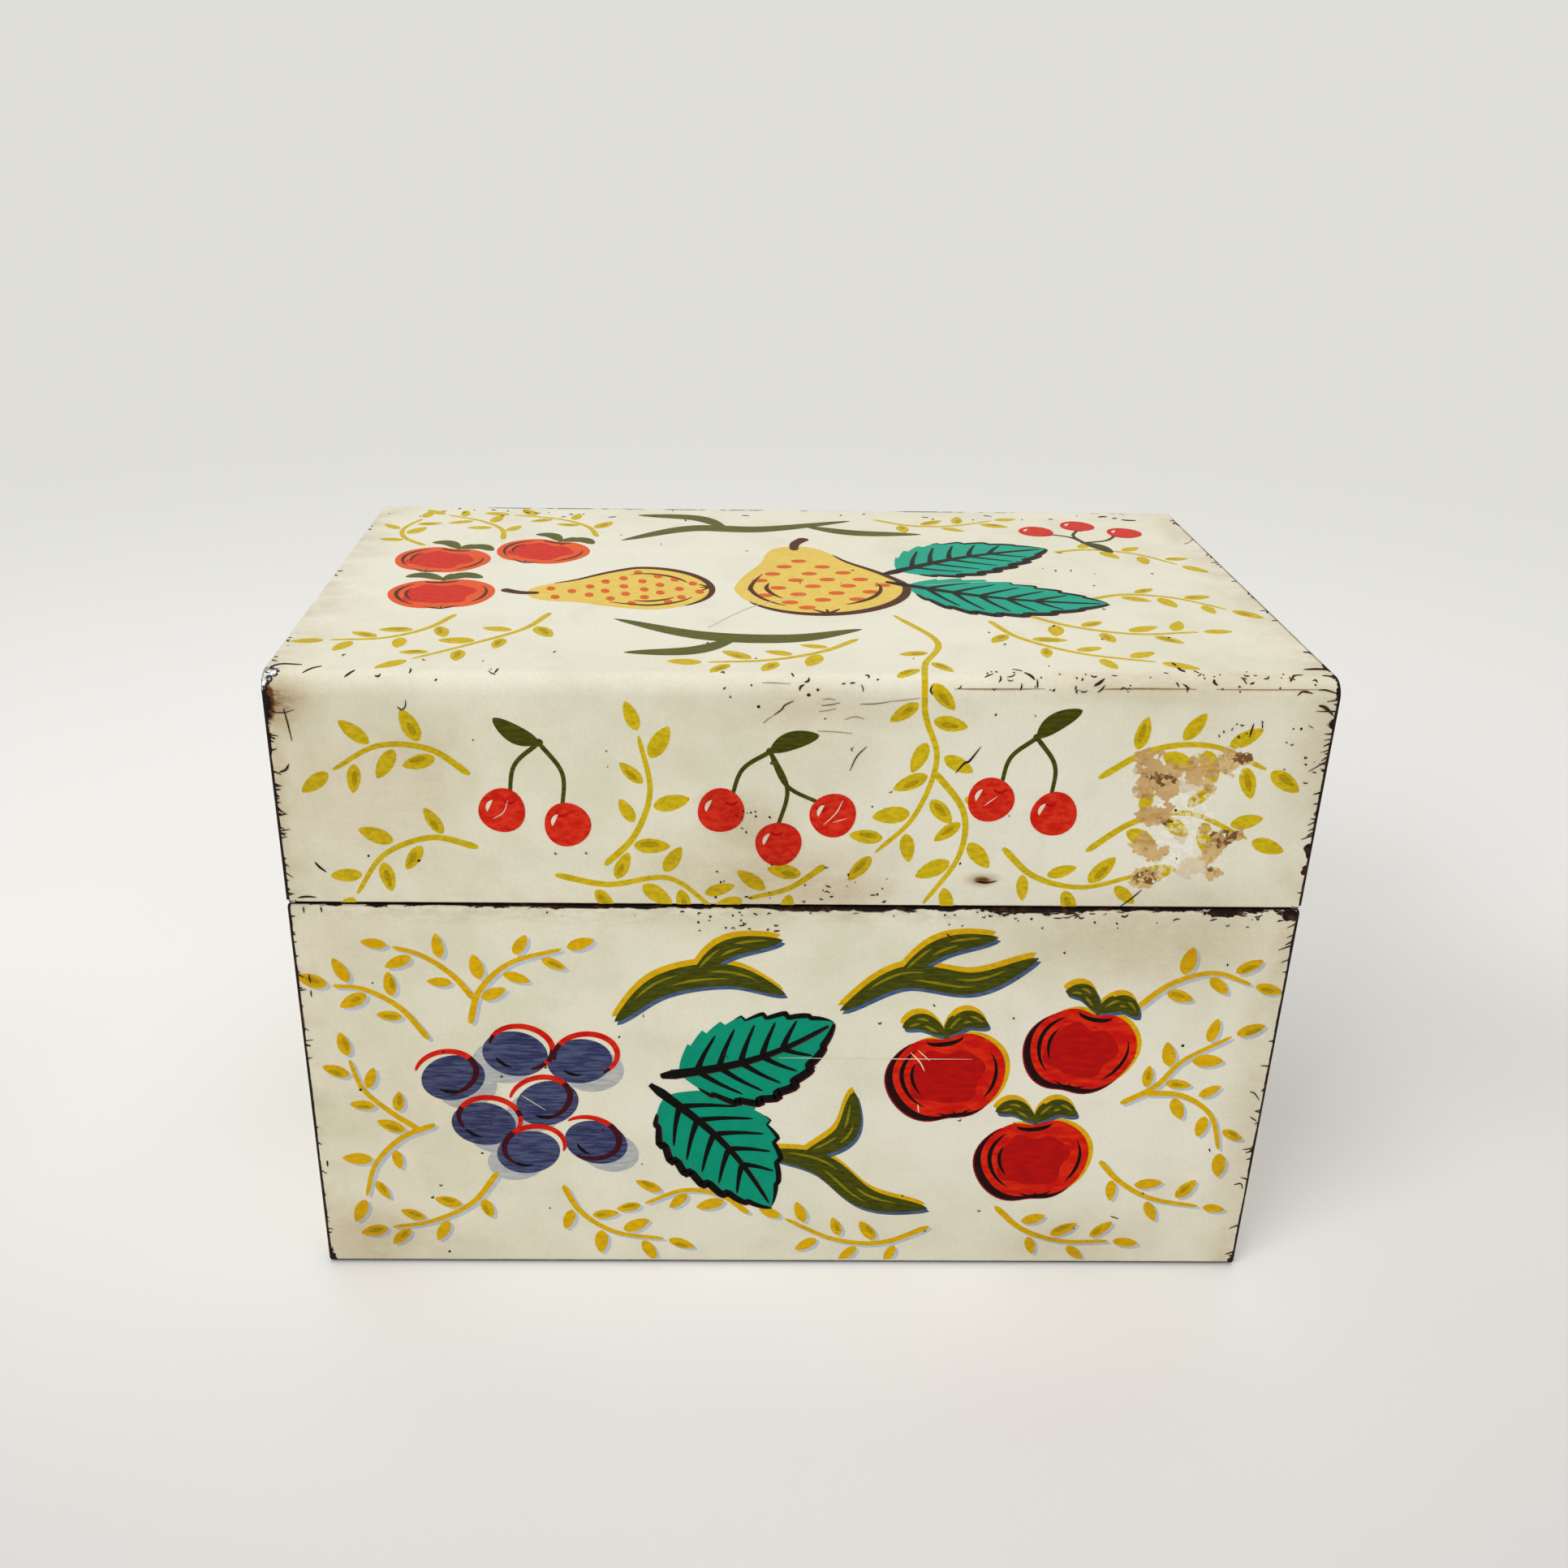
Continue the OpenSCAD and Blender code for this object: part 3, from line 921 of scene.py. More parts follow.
@dataclass(frozen=True)
class Strip:
    """A flat face of tin, or several joined by round bends, which artwork is wrapped on.

    Places are u millimetres across and v millimetres along from the start, as if the strip lay flat.
    """

    start: Place
    across: Place
    ahead: Place
    least: Point
    most: Point
    legs: tuple[float, ...] = (1000.0,)
    bend: float = TIN.lid_bend
    bend_cuts: int = 16

    @property
    def arc(self) -> float:
        """The length of the strip in a bend."""
        return self.bend * math.pi / 2

    def creases(self) -> Iterator[float]:
        """Finds where a shape has to be cut to follow the bends.

        Yields:
            Places along the strip.
        """
        along = 0.0
        for leg in self.legs[:-1]:
            along += leg
            yield from (along + cut / self.bend_cuts * self.arc for cut in range(self.bend_cuts + 1))
            along += self.arc

    def wrap(self, u: float, v: float, lift: float) -> Vector:
        """Finds a place on the folded strip.

        Args:
            u: place across.
            v: place along.
            lift: height over the coat.

        Returns:
            The place in metres.
        """
        at, across, ahead = Vector(self.start), Vector(self.across), Vector(self.ahead)
        out = across.cross(ahead)
        for number, leg in enumerate(self.legs):
            if v <= leg or number == len(self.legs) - 1:
                return (at + across * u + ahead * v + out * lift) * MM
            at, v = at + ahead * leg, v - leg
            if v < self.arc:
                angle = v / self.bend
                radial = out * math.cos(angle) + ahead * math.sin(angle)
                return (at - out * self.bend + radial * (self.bend + lift) + across * u) * MM
            at, v = at + (ahead - out) * self.bend, v - self.arc
            ahead, out = -out, ahead
        raise ValueError("a strip needs at least one leg")


def curve(points: Sequence[Point], steps: int = 7) -> list[Vector]:
    """Draws a smooth line through points.

    Args:
        points: the points it passes through.
        steps: pieces between two of them.

    Returns:
        Points along the line.
    """
    knots = [Vector(p) for p in points]
    ends = [2 * knots[0] - knots[1], *knots, 2 * knots[-1] - knots[-2]]
    line = []
    for a, b, c, d in zip(ends, ends[1:], ends[2:], ends[3:]):
        for step in range(steps):
            t = step / steps
            bent = 2 * b + (c - a) * t + (2 * a - 5 * b + 4 * c - d) * t * t
            line.append((bent + (3 * (b - c) - a + d) * t**3) / 2)
    return [*line, knots[-1]]


def along(line: Sequence[Vector], share: float) -> tuple[Vector, Vector]:
    """Finds a point on a line and the line's direction there.

    Args:
        line: its points.
        share: how far along, from 0 to 1.

    Returns:
        The point and the direction.
    """
    last = len(line) - 1
    low = min(int(share * last), last - 1)
    return line[low].lerp(line[low + 1], share * last - low), (line[low + 1] - line[low]).normalized()


def turned(vector: Vector, degrees: float) -> Vector:
    """The flat vector turned anticlockwise."""
    return Matrix.Rotation(math.radians(degrees), 2) @ vector


def spread_out(first: float, last: float, pieces: int) -> list[float]:
    """Evenly spaced values from first to last, with this many pieces between them."""
    return [first + (last - first) * number / pieces for number in range(pieces + 1)]


def hump(value: float, middle: float, wide: float) -> float:
    """A smooth bump: 1 where value is at middle, and next to nothing some widths off it."""
    return math.exp(-(((value - middle) / wide) ** 2))


def holds(polygon: Sequence[Vector], point: Vector) -> bool:
    """Tells whether a point lies inside a polygon.

    Args:
        polygon: its corners.
        point: the point.

    Returns:
        True if it does.
    """
    odd = False
    for a, b in zip(polygon, [*polygon[1:], polygon[0]]):
        if (a.y > point.y) != (b.y > point.y):
            crossing = a.x + (point.y - a.y) / (b.y - a.y) * (b.x - a.x)
            odd ^= point.x < crossing
    return odd


def stem_width(thick: float, end: float = 0.45) -> Width:
    """Draws a stroke that lessens evenly and is rounded off at both ends.

    Args:
        thick: its width at the start.
        end: what share of that is left at the end.

    Returns:
        The stroke's width at a share of its length.
    """

    def width(share: float) -> float:
        """The width at this share."""
        rounded = min(1.0, BLUNT_END + END_ROUNDING * min(share, 1 - share))
        return thick * (1 + (end - 1) * share) * rounded

    return width


def brush_width(thick: float, belly: float = 0.5, blunt: float = 0.7) -> Width:
    """Draws a stroke that swells from a point and narrows to a point again.

    Args:
        thick: its greatest width.
        belly: at what share of its length that is.
        blunt: how slim its ends are, blunt near 0.

    Returns:
        The stroke's width at a share of its length.
    """

    def width(share: float) -> float:
        """The width at this share."""
        swell = share / belly / 2 if share < belly else 1 - (1 - share) / (1 - belly) / 2
        return max(thick * math.sin(math.pi * swell) ** blunt, FINEST_LINE)

    return width


@dataclass(frozen=True)
class Placing:
    """Where a motif goes: its middle in millimetres, its turn in degrees and its size."""

    x: float
    y: float
    turn: float = 0.0
    size: float = 1.0

    def of(self, x: float, y: float) -> Vector:
        """A point of the motif's own drawing, in its place."""
        return Vector((self.x, self.y)) + turned(Vector((x, y)), self.turn) * self.size

    def many(self, *points: Point) -> tuple[Point, ...]:
        """Several points of the motif's own drawing, in their places."""
        return tuple(tuple(self.of(*point)) for point in points)


@dataclass
class Sheet:
    """A strip of tin and the ink that lies on it, still flat."""

    strip: Strip
    beds: dict[Ink, bmesh.types.BMesh] = field(default_factory=dict)
    laid: Counter[Ink] = field(default_factory=Counter)
    origin: Point = (0.0, 0.0)
    dice: random.Random = field(default_factory=lambda: random.Random(PRINT_SEED))

    def moved(self, u: float, v: float) -> "Sheet":
        """The same sheet with its artwork measured from another origin."""
        return Sheet(self.strip, self.beds, self.laid, (u, v), self.dice)

    def _lay(self, ink: Ink, verts: Sequence[bmesh.types.BMVert], places: Sequence[Vector]) -> None:
        """Moves new vertices to their places, a hair higher than what the ink laid just before.

        Args:
            ink: the shape's colour.
            verts: the shape's vertices.
            places: where on the sheet each goes.
        """
        self.laid[ink] += 1
        height = SHAPE_STEP * (self.laid[ink] % SHAPE_STEPS)
        for vert, place in zip(verts, places):
            vert.co = (place.x + self.origin[0], place.y + self.origin[1], height)

    def _bed(self, ink: Ink) -> bmesh.types.BMesh:
        """Finds the flat mesh of one ink, or starts it.

        Args:
            ink: the ink.

        Returns:
            The mesh.
        """
        if ink not in self.beds:
            self.beds[ink] = bmesh.new()
        return self.beds[ink]

    def patch(
        self, ink: Ink, outline: Callable[[float], Vector], segments: int = 32, shift: Point = (0, 0)
    ) -> None:
        """Prints a filled shape.

        Args:
            ink: its colour.
            outline: its edge at an angle from 0 to 2 pi.
            segments: points on its edge.
            shift: how far off its place it is printed.
        """
        made = bmesh.ops.create_circle(self._bed(ink), cap_ends=True, segments=segments, radius=1)
        angles = [math.atan2(v.co.y, v.co.x) % math.tau for v in made["verts"]]
        self._lay(ink, made["verts"], [outline(a) + Vector(shift) for a in angles])

    def stroke(self, ink: Ink, line: Sequence[Vector], width: Width, shift: Point = (0, 0)) -> None:
        """Prints a line.

        Args:
            ink: its colour.
            line: the points it follows.
            width: its width at each share of the line.
            shift: how far off its place it is printed.
        """
        last = len(line) - 1
        made = bmesh.ops.create_grid(self._bed(ink), x_segments=last, y_segments=1, size=1)
        places = []
        for vert in made["verts"]:
            number = round((vert.co.x + 1) / 2 * last)
            ahead = (line[min(number + 1, last)] - line[max(number - 1, 0)]).normalized()
            side = Vector((-ahead.y, ahead.x)) * vert.co.y * width(number / last) / 2
            places.append(line[number] + side + Vector(shift))
        self._lay(ink, made["verts"], places)

    def dot(self, ink: Ink, at: Vector, across: float, high: float = 0.0, turn: float = 0.0) -> None:
        """Prints a small oval.

        Args:
            ink: its colour.
            at: its middle.
            across: its width.
            high: its height, the same as its width if 0.
            turn: its turn in degrees.
        """
        size = Vector((across, high or across)) / 2
        self.patch(
            ink, lambda a: at + turned(Vector((size.x * math.cos(a), size.y * math.sin(a))), turn), 12
        )

    def leaf(self, ink: Ink, foot: Vector, ahead: Vector, size: Point, shift: Point = (0, 0)) -> None:
        """Prints a small pointed leaf.

        Args:
            ink: its colour.
            foot: where it starts.
            ahead: where it points.
            size: its length and width.
            shift: how far off its place it is printed.
        """
        side = Vector((-ahead.y, ahead.x))

        def edge(angle: float) -> Vector:
            """The leaf's edge at an angle from 0 to 2 pi."""
            bulge = math.sin(angle) * abs(math.sin(angle)) ** LEAF_SLIMNESS
            length = size[0] * ((1 - math.cos(angle)) / 2 - LEAF_DROOP * math.sin(angle) ** 2)
            return foot + ahead * length + side * bulge * size[1] / 2

        self.patch(ink, edge, 14, shift)


@dataclass(frozen=True)
class Sprig:
    """A thin bending stem with small leaves beside it, often printed with a pale shadow."""

    stem: tuple[Point, ...]
    ink: Ink = Ink.GOLD
    hazy: bool = True
    leaf: float = 3.9
    bare: float = 0.24
    thick: float = 0.95
    pitch: float = 3.1
    taper: float = 0.62
    shadow: Point = (0.5, -0.42)
    blotted: float = 0.45
    off_stem: float = 0.8
    stalk_turn: float = 62

    def print_on(self, sheet: Sheet) -> None:
        """Prints the stem, the leaves beside it and the one at its tip.

        Args:
            sheet: the tin to print on.
        """
        line = curve(self.stem, 12)
        length = sum((b - a).length for a, b in zip(line, line[1:]))
        count = max(2, round(length * (1 - self.bare) / self.pitch))
        pulls = [(Ink.HAZE, self.shadow)] if self.hazy else []
        pulls.append((self.ink, (0, 0)))
        for ink, shift in pulls:
            sheet.stroke(ink, line, stem_width(self.thick, self.taper), shift)
        dice = sheet.dice
        side = dice.choice((1, -1))
        for number in range(count + 1):
            at, ahead = along(line, self.bare + (1 - self.bare) * number / count)
            grow = dice.uniform(0.86, 1.14) * self.leaf
            if number == count:
                foot, way = at + ahead * self.off_stem, turned(ahead, dice.uniform(-14, 14))
            else:
                foot = at + turned(ahead, side * self.stalk_turn) * dice.uniform(0.7, 1.15)
                way = turned(ahead, side * dice.uniform(36, 62))
            wide = grow * dice.uniform(0.41, 0.5)
            for ink, shift in pulls:
                sheet.leaf(ink, foot, way, (grow, wide), shift)
            if dice.random() < self.blotted:
                start = foot + turned(way * grow * dice.uniform(0.12, 0.3), dice.uniform(-20, 20))
                sheet.leaf(Ink.BRONZE, start, way, (grow * dice.uniform(0.4, 0.62), wide * 0.4))
            side = -side


@dataclass(frozen=True)
class SlimLeaf:
    """A long bending olive leaf or twig whose yellow and blue were laid a little off its place."""

    spine: tuple[Point, ...]
    width: float = 3.3
    rims: bool = True
    belly: float = 0.5
    ink: Ink = Ink.OLIVE
    blue_slip: Point = (0.34, -0.55)
    gold_slip: Point = (-0.36, 0.85)
    marks: tuple[Point, ...] = ((0.16, 0.20), (0.38, -0.16), (0.56, 0.16))
    mark_length: float = 0.28
    mark_width: float = 0.42

    def print_on(self, sheet: Sheet) -> None:
        """Prints the yellow and blue edges, the leaf and the pale marks on it.

        Args:
            sheet: the tin to print on.
        """
        line = curve(self.spine, 14)
        brush = brush_width(self.width, self.belly, 0.6)
        if self.rims:
            sheet.stroke(Ink.STEEL, line, brush, self.blue_slip)
            sheet.stroke(Ink.GOLD, line, brush, self.gold_slip)
        sheet.stroke(self.ink, line, brush)
        last = len(line) - 1
        for first, side in self.marks if self.rims else ():
            mark = []
            for number in range(round(first * last), round((first + self.mark_length) * last) + 1):
                at, ahead = along(line, number / last)
                mark.append(at + turned(ahead, 90) * side * brush(number / last))
            sheet.stroke(Ink.MOSS, mark, brush_width(self.mark_width, 0.4))


@dataclass(frozen=True)
class Cherries:
    """Round cherries that hang from one knot on long stems, with a leaf at the knot."""

    knot: Point
    fruit: tuple[Point, ...]
    radius: float = 3.1
    leaf_turn: float = 40.0
    leaf_length: float = 6.6
    leaf_width: float = 2.5
    stalk_width: float = 0.62
    sag: float = 0.16
    dimple_at: float = 0.72
    glint_at: float = 0.62

    def print_on(self, sheet: Sheet) -> None:
        """Prints the stalks, the cherries and the leaf.

        Args:
            sheet: the tin to print on.
        """
        knot = Vector(self.knot)
        for number, place in enumerate(self.fruit):
            middle = Vector(place)
            top = middle + (knot - middle).normalized() * self.radius * self.dimple_at
            sag = turned(top - knot, 90) * (self.sag if number % 2 else -self.sag)
            stalk = curve([knot, (knot + top) / 2 + sag, top])
            sheet.stroke(Ink.OLIVE, stalk, stem_width(self.stalk_width, 0.8))
            self._cherry(sheet, middle, top)
        lean = turned(Vector((1, 0)), self.leaf_turn)
        bow = knot + lean * 3 + turned(lean, 90) * 0.5
        spine = (tuple(knot), tuple(bow), tuple(knot + lean * self.leaf_length))
        SlimLeaf(spine, self.leaf_width, False).print_on(sheet)
        sheet.dot(Ink.OLIVE, knot, 1.1)

    def _cherry(self, sheet: Sheet, middle: Vector, top: Vector) -> None:
        """Prints one cherry with its spared highlight and its dimple.

        Args:
            sheet: the tin to print on.
            middle: the cherry's middle.
            top: where its stalk ends.
        """
        wobble = sheet.dice.uniform(0, math.tau)

        def edge(angle: float) -> Vector:
            """The cherry's edge at an angle from 0 to 2 pi."""
            uneven = 1 + 0.022 * math.sin(3 * angle + wobble) - 0.02 * math.cos(2 * angle)
            return middle + Vector((math.cos(angle), math.sin(angle))) * self.radius * uneven

        sheet.patch(Ink.CHERRY, edge, 28)
        off_middle = Vector((self.radius * self.glint_at, 0))
        glint = [middle + turned(off_middle, angle) for angle in range(128, 186, 8)]
        sheet.stroke(Ink.SPARED, glint, brush_width(0.55))
        dimple = [top + turned(Vector((0.9, 0)), angle) for angle in range(200, 350, 20)]
        sheet.stroke(Ink.CARMINE, dimple, brush_width(0.42))


@dataclass(frozen=True)
class BroadLeaf:
    """A broad pointed teal leaf with a saw edge, thick black ribs and an outline down its shaded side."""

    place: Placing
    length: float = 24.0
    width: float = 14.0
    ribs: int = 5
    teeth: int = 8
    curl: float = 0.12
    ink: Ink = Ink.TEAL
    foot_heavy: float = 0.78
    fullness: float = 0.82
    bite: float = 0.13
    rib_width: float = 1.5
    vein_width: float = 0.95

    def _half(self, share: float) -> float:
        """The leaf's half width without its teeth, 1 at its widest, at this share of its length."""
        return math.sin(math.pi * share**self.foot_heavy) ** self.fullness if 0 < share < 1 else 0.0

    def _edge(self, share: float, side: float) -> Vector:
        """Finds a point on the saw edge.

        Args:
            share: 0 at the foot and 1 at the tip.
            side: 1 or -1.

        Returns:
            The point.
        """
        half = self._half(share)
        notch = (share * self.teeth) % 1
        bite = (notch - 0.45) * self.bite * min(1.0, 6 * share, 4 * (1 - share))
        return self._at(share, side * (half + bite * (half > 0)))

    def _at(self, share: float, out: float) -> Vector:
        """A point of the leaf, share of the way up its rib and out shares of its half width off it."""
        bend = self.curl * self.length * math.sin(math.pi * share) * 0.5
        return self.place.of(share * self.length, out * self.width / 2 + bend)

    def print_on(self, sheet: Sheet) -> None:
        """Prints the blade, its ribs and its outline.

        Args:
            sheet: the tin to print on.
        """
        size = self.place.size
        sheet.patch(
            self.ink, lambda a: self._edge((1 - math.cos(a)) / 2, 1 if math.sin(a) >= 0 else -1), 160
        )
        rib = [self._at(share, 0) for share in spread_out(-0.12, 0.96, 14)]
        sheet.stroke(Ink.WINE, rib, stem_width(self.rib_width * size, 0.3), (0.2, -0.16))
        sheet.stroke(Ink.BLACK, rib, stem_width(self.rib_width * size, 0.25))
        for number in range(self.ribs):
            foot = 0.10 + 0.68 * number / self.ribs
            tip = foot + 0.20 - 0.012 * number
            reach = 0.80 * self._half(min(tip, 0.97))
            for side in (1, -1):
                bow = self._at(foot + (tip - foot) * 0.45, side * reach * 0.5)
                vein = curve([self._at(foot, 0), bow, self._at(tip, side * reach)], 5)
                sheet.stroke(Ink.BLACK, vein, stem_width(self.vein_width * size, 0.35))
        shaded = [self._edge(share, -1) for share in spread_out(0.06, 1.0, 96)]
        sheet.stroke(Ink.WINE, shaded, brush_width(1.25 * size, 0.55, 0.4), (0.2, -0.2))
        sheet.stroke(Ink.BLACK, shaded, brush_width(1.15 * size, 0.55, 0.4))
        lit = [self._edge(share, 1) for share in spread_out(0.45, 1.0, 48)]
        sheet.stroke(Ink.BLACK, lit, brush_width(0.8 * size, 0.7))


@dataclass(frozen=True)
class Fruit:
    """A single fruit, whose outline each kind gives in its own way."""

    place: Placing
    mark_pieces = 12

    def _rim(self, angle: float, scale: float = 1.0) -> Vector:
        """A point of the fruit's outline, shrunk to scale."""
        raise NotImplementedError

    def _marks(self, sheet: Sheet, ink: Ink, marks: Sequence[tuple[float, float, float, float]]) -> None:
        """Prints curved brush marks that follow the outline.

        Args:
            sheet: the tin to print on.
            ink: their colour.
            marks: each one's scale of the outline, first and last angle in degrees, and width.
        """
        for scale, first, last, thick in marks:
            angles = spread_out(first, last, self.mark_pieces)
            mark = [self._rim(math.radians(angle) % math.tau, scale) for angle in angles]
            sheet.stroke(ink, mark, brush_width(thick * self.place.size, 0.4))


@dataclass(frozen=True)
class FruitInks:
    """The colours one kind of fruit is printed in. Without an edge colour it is laid true."""

    body: Ink
    heart: Ink
    line: Ink
    leaf: Ink = Ink.OLIVE
    edge: Ink | None = None


DEEP_FRUIT = FruitInks(Ink.RED, Ink.CARMINE, Ink.BLACK, edge=Ink.GOLD)
LIGHT_FRUIT = FruitInks(Ink.CORAL, Ink.CHERRY, Ink.BROWN, Ink.FERN)


@dataclass(frozen=True)
class Apple(Fruit):
    """A dimpled apple with a dark crescent on its shaded side, brush marks, a stem and two leaves."""

    inks: FruitInks = DEEP_FRUIT
    radius: float = 7.4

    def _rim(self, angle: float, scale: float = 1.0) -> Vector:
        """A point of the apple's outline, shrunk to scale."""
        dimples = 0.20 * hump(angle, math.pi / 2, 0.36) + 0.075 * hump(angle, 3 * math.pi / 2, 0.30)
        uneven = 0.035 * math.cos(2 * angle) + 0.012 * math.sin(5 * angle)
        reach = self.radius * (1 - dimples + uneven) * scale
        return self.place.of(reach * math.cos(angle), reach * math.sin(angle))

    def _heart(self, angle: float) -> Vector:
        """A point on the ragged edge of the apple's darker middle."""
        return self._rim(angle, 0.66 + 0.05 * math.sin(4 * angle) + 0.035 * math.sin(7 * angle + 1))

    def print_on(self, sheet: Sheet) -> None:
        """Prints the fruit from its lowest ink to its lines.

        Args:
            sheet: the tin to print on.
        """
        pulls = [(self.inks.body, 1.0, 0.0, 0.0)]
        if self.inks.edge:
            pulls += [
                (self.inks.edge, 1.0, 0.62, 0.34),
                (Ink.UNDER_RIM, 1.035, -0.82, -0.70),
                (Ink.SHADE, 1.02, -0.72, -0.60),
            ]
        size = self.place.size
        for ink, scale, right, up in pulls:
            sheet.patch(ink, lambda a: self._rim(a, scale), 56, (right * size, up * size))
        sheet.patch(self.inks.heart, self._heart, 44, (-0.35 * size, -0.35 * size))
        self._marks(
            sheet, self.inks.line, ((0.84, 130, 232, 0.62), (0.66, 150, 214, 0.5), (0.84, -48, 24, 0.5))
        )
        r = self.radius
        turns = [math.radians(angle) for angle in spread_out(188, 352, 10)]
        bowl = [self.place.of(r * 0.34 * math.cos(a), r * (0.80 + 0.13 * math.sin(a))) for a in turns]
        sheet.stroke(self.inks.line, bowl, brush_width(0.7 * size))
        for lean in (-26, 0, 26):
            eye = [self.place.of(0.09 * lean * s / 3, -r * (0.97 - 0.045 * s)) for s in range(4)]
            sheet.stroke(self.inks.line, eye, stem_width(0.45 * size, 0.4))
        stem = self.place.many((0.1, r * 0.70), (0.5, r * 0.98), (1.5, r * 1.26))
        SlimLeaf(stem, 0.95 * size, False, 0.75, self.inks.leaf).print_on(sheet)
        for bow, tip, wide in (
            ((-2.6, r * 1.22), (-5.4, r * 1.16), 2.5),
            ((3.2, r * 1.14), (6.0, r * 0.92), 2.7),
        ):
            spine = self.place.many((0.2, r * 0.86), bow, tip)
            SlimLeaf(spine, wide * size, self.inks.edge is not None, ink=self.inks.leaf).print_on(sheet)


@dataclass(frozen=True)
class Pear(Fruit):
    """A speckled golden pear with a brown outline down one side."""

    radius: float = 9.0
    speckle: Point = (1.7, 1.15)
    pitch: Point = (3.6, 2.35)

    def _rim(self, angle: float, scale: float = 1.0) -> Vector:
        """A point of the pear's outline, shrunk to scale."""
        up, side = max(math.sin(angle), 0.0), math.cos(angle)
        y = math.sin(angle) * (1 + 0.66 * up)
        waist = 1 - 0.13 * hump(y, 1.02, 0.34)
        x = math.copysign(abs(side) ** (1 - 0.34 * up), side) * (1 - 0.40 * up**1.2) * waist
        return self.place.of(self.radius * x * (1 + 0.07 * side) * scale, self.radius * y * scale)

    def _speckles(self, sheet: Sheet) -> None:
        """Prints rows of small ovals inside the outline.

        Args:
            sheet: the tin to print on.
        """
        size = self.place.size
        fence = [self._rim(angle, 0.84) for angle in spread_out(0, math.tau, 40)[:-1]]
        for row in range(-4, 8):
            for column in range(-4, 5):
                across = (column + 0.5 * (row % 2)) * self.pitch[0] + sheet.dice.uniform(-0.35, 0.35)
                at = self.place.of(across, row * self.pitch[1] + sheet.dice.uniform(-0.3, 0.3))
                if holds(fence, at):
                    wide, high = self.speckle
                    sheet.dot(Ink.TANGERINE, at, wide * size, high * size, self.place.turn)

    def print_on(self, sheet: Sheet) -> None:
        """Prints the fruit, its speckles, its brush marks and its stalk.

        Args:
            sheet: the tin to print on.
        """
        size, r = self.place.size, self.radius
        sheet.patch(Ink.HONEY, self._rim, 60)
        self._speckles(sheet)
        outline = [self._rim(math.radians(angle) % math.tau) for angle in spread_out(-150, 55, 40)]
        sheet.stroke(Ink.BROWN, outline, brush_width(0.95 * size, 0.5, 0.5))
        self._marks(sheet, Ink.BROWN, ((0.80, 150, 236, 0.5), (0.60, 165, 222, 0.5), (0.72, -70, 8, 0.5)))
        stalk = self.place.many((0, r * 1.50), (0.5, r * 1.78), (2.0, r * 2.02))
        sheet.stroke(Ink.BROWN, curve(stalk), stem_width(0.9 * size, 1.5))
        for lean in (-1, 0, 1):
            eye = [self.place.of(lean * 0.45 * s, -r * (0.98 - 0.05 * s)) for s in range(4)]
            sheet.stroke(Ink.BROWN, eye, stem_width(0.5 * size, 0.4))


@dataclass(frozen=True)
class PlumHeap:
    """A heap of oval blue plums, with a grey and a red pull that both missed their places."""

    plums: tuple[Place, ...]
    size: Point = (9.2, 7.4)
    arc_pieces: int = 60
    arc_degrees: float = 250
    arc_width: float = 0.86
    crossing_width: float = 0.88

    def _rim(self, plum: Place, angle: float, scale: float = 1.0) -> Vector:
        """Finds a point of one plum's outline.

        Args:
            plum: its middle's x and y, and its turn in degrees.
            angle: the point's angle.
            scale: how far the outline is shrunk.

        Returns:
            The point.
        """
        x, y, turn = plum
        oval = Vector((self.size[0] * math.cos(angle), self.size[1] * math.sin(angle))) * scale / 2
        return Vector((x, y)) + turned(oval, turn)

    def print_on(self, sheet: Sheet) -> None:
        """Prints the grey plums, the blue ones, their creases and the red arcs.

        Args:
            sheet: the tin to print on.
        """
        around = spread_out(0, math.tau, 30)[:-1]
        blues = [[self._rim(plum, angle) for angle in around] for plum in self.plums]
        for number, plum in enumerate(self.plums):
            slip = Vector((-1.7, -1.5)) if number % 2 else Vector((1.9, -1.7))
            sheet.patch(Ink.GREY, lambda a: self._rim(plum, a, 0.94) + slip, 36)
            sheet.patch(Ink.BLUE, lambda a: self._rim(plum, a), 40)
            shift = Vector((0.9, 1.0)) if number % 3 else Vector((-1.0, 0.8))
            first = 150 + 35 * (number % 3)
            turns = spread_out(first, first - self.arc_degrees, self.arc_pieces)
            self._red_arc(sheet, [self._rim(plum, math.radians(a), 0.96) + shift for a in turns], blues)
            crease = [self._rim(plum, math.radians(angle), 0.62) for angle in spread_out(208, 270, 8)]
            sheet.stroke(Ink.BLACK, crease, brush_width(0.5))

    def _red_arc(self, sheet: Sheet, arc: Sequence[Vector], blues: Sequence[Sequence[Vector]]) -> None:
        """Prints one red arc, and darkens it where it crosses blue.

        Args:
            sheet: the tin to print on.
            arc: its points.
            blues: the outlines of the blue plums.
        """
        sheet.stroke(Ink.RED, arc, brush_width(self.arc_width, 0.5, 0.3))
        whole = brush_width(self.crossing_width, 0.5, 0.3)
        over = [any(holds(blue, point) for blue in blues) for point in arc]
        for crosses, run in groupby(range(len(arc)), over.__getitem__):
            numbers = list(run)
            if crosses and len(numbers) > 2:
                first, last = numbers[0], numbers[-1]
                sheet.stroke(
                    Ink.WINE, arc[first : last + 1],
                    lambda share: whole((first + share * (last - first)) / self.arc_pieces),
                )


Motif = Sprig | Cherries | SlimLeaf | BroadLeaf | Apple | Pear | PlumHeap


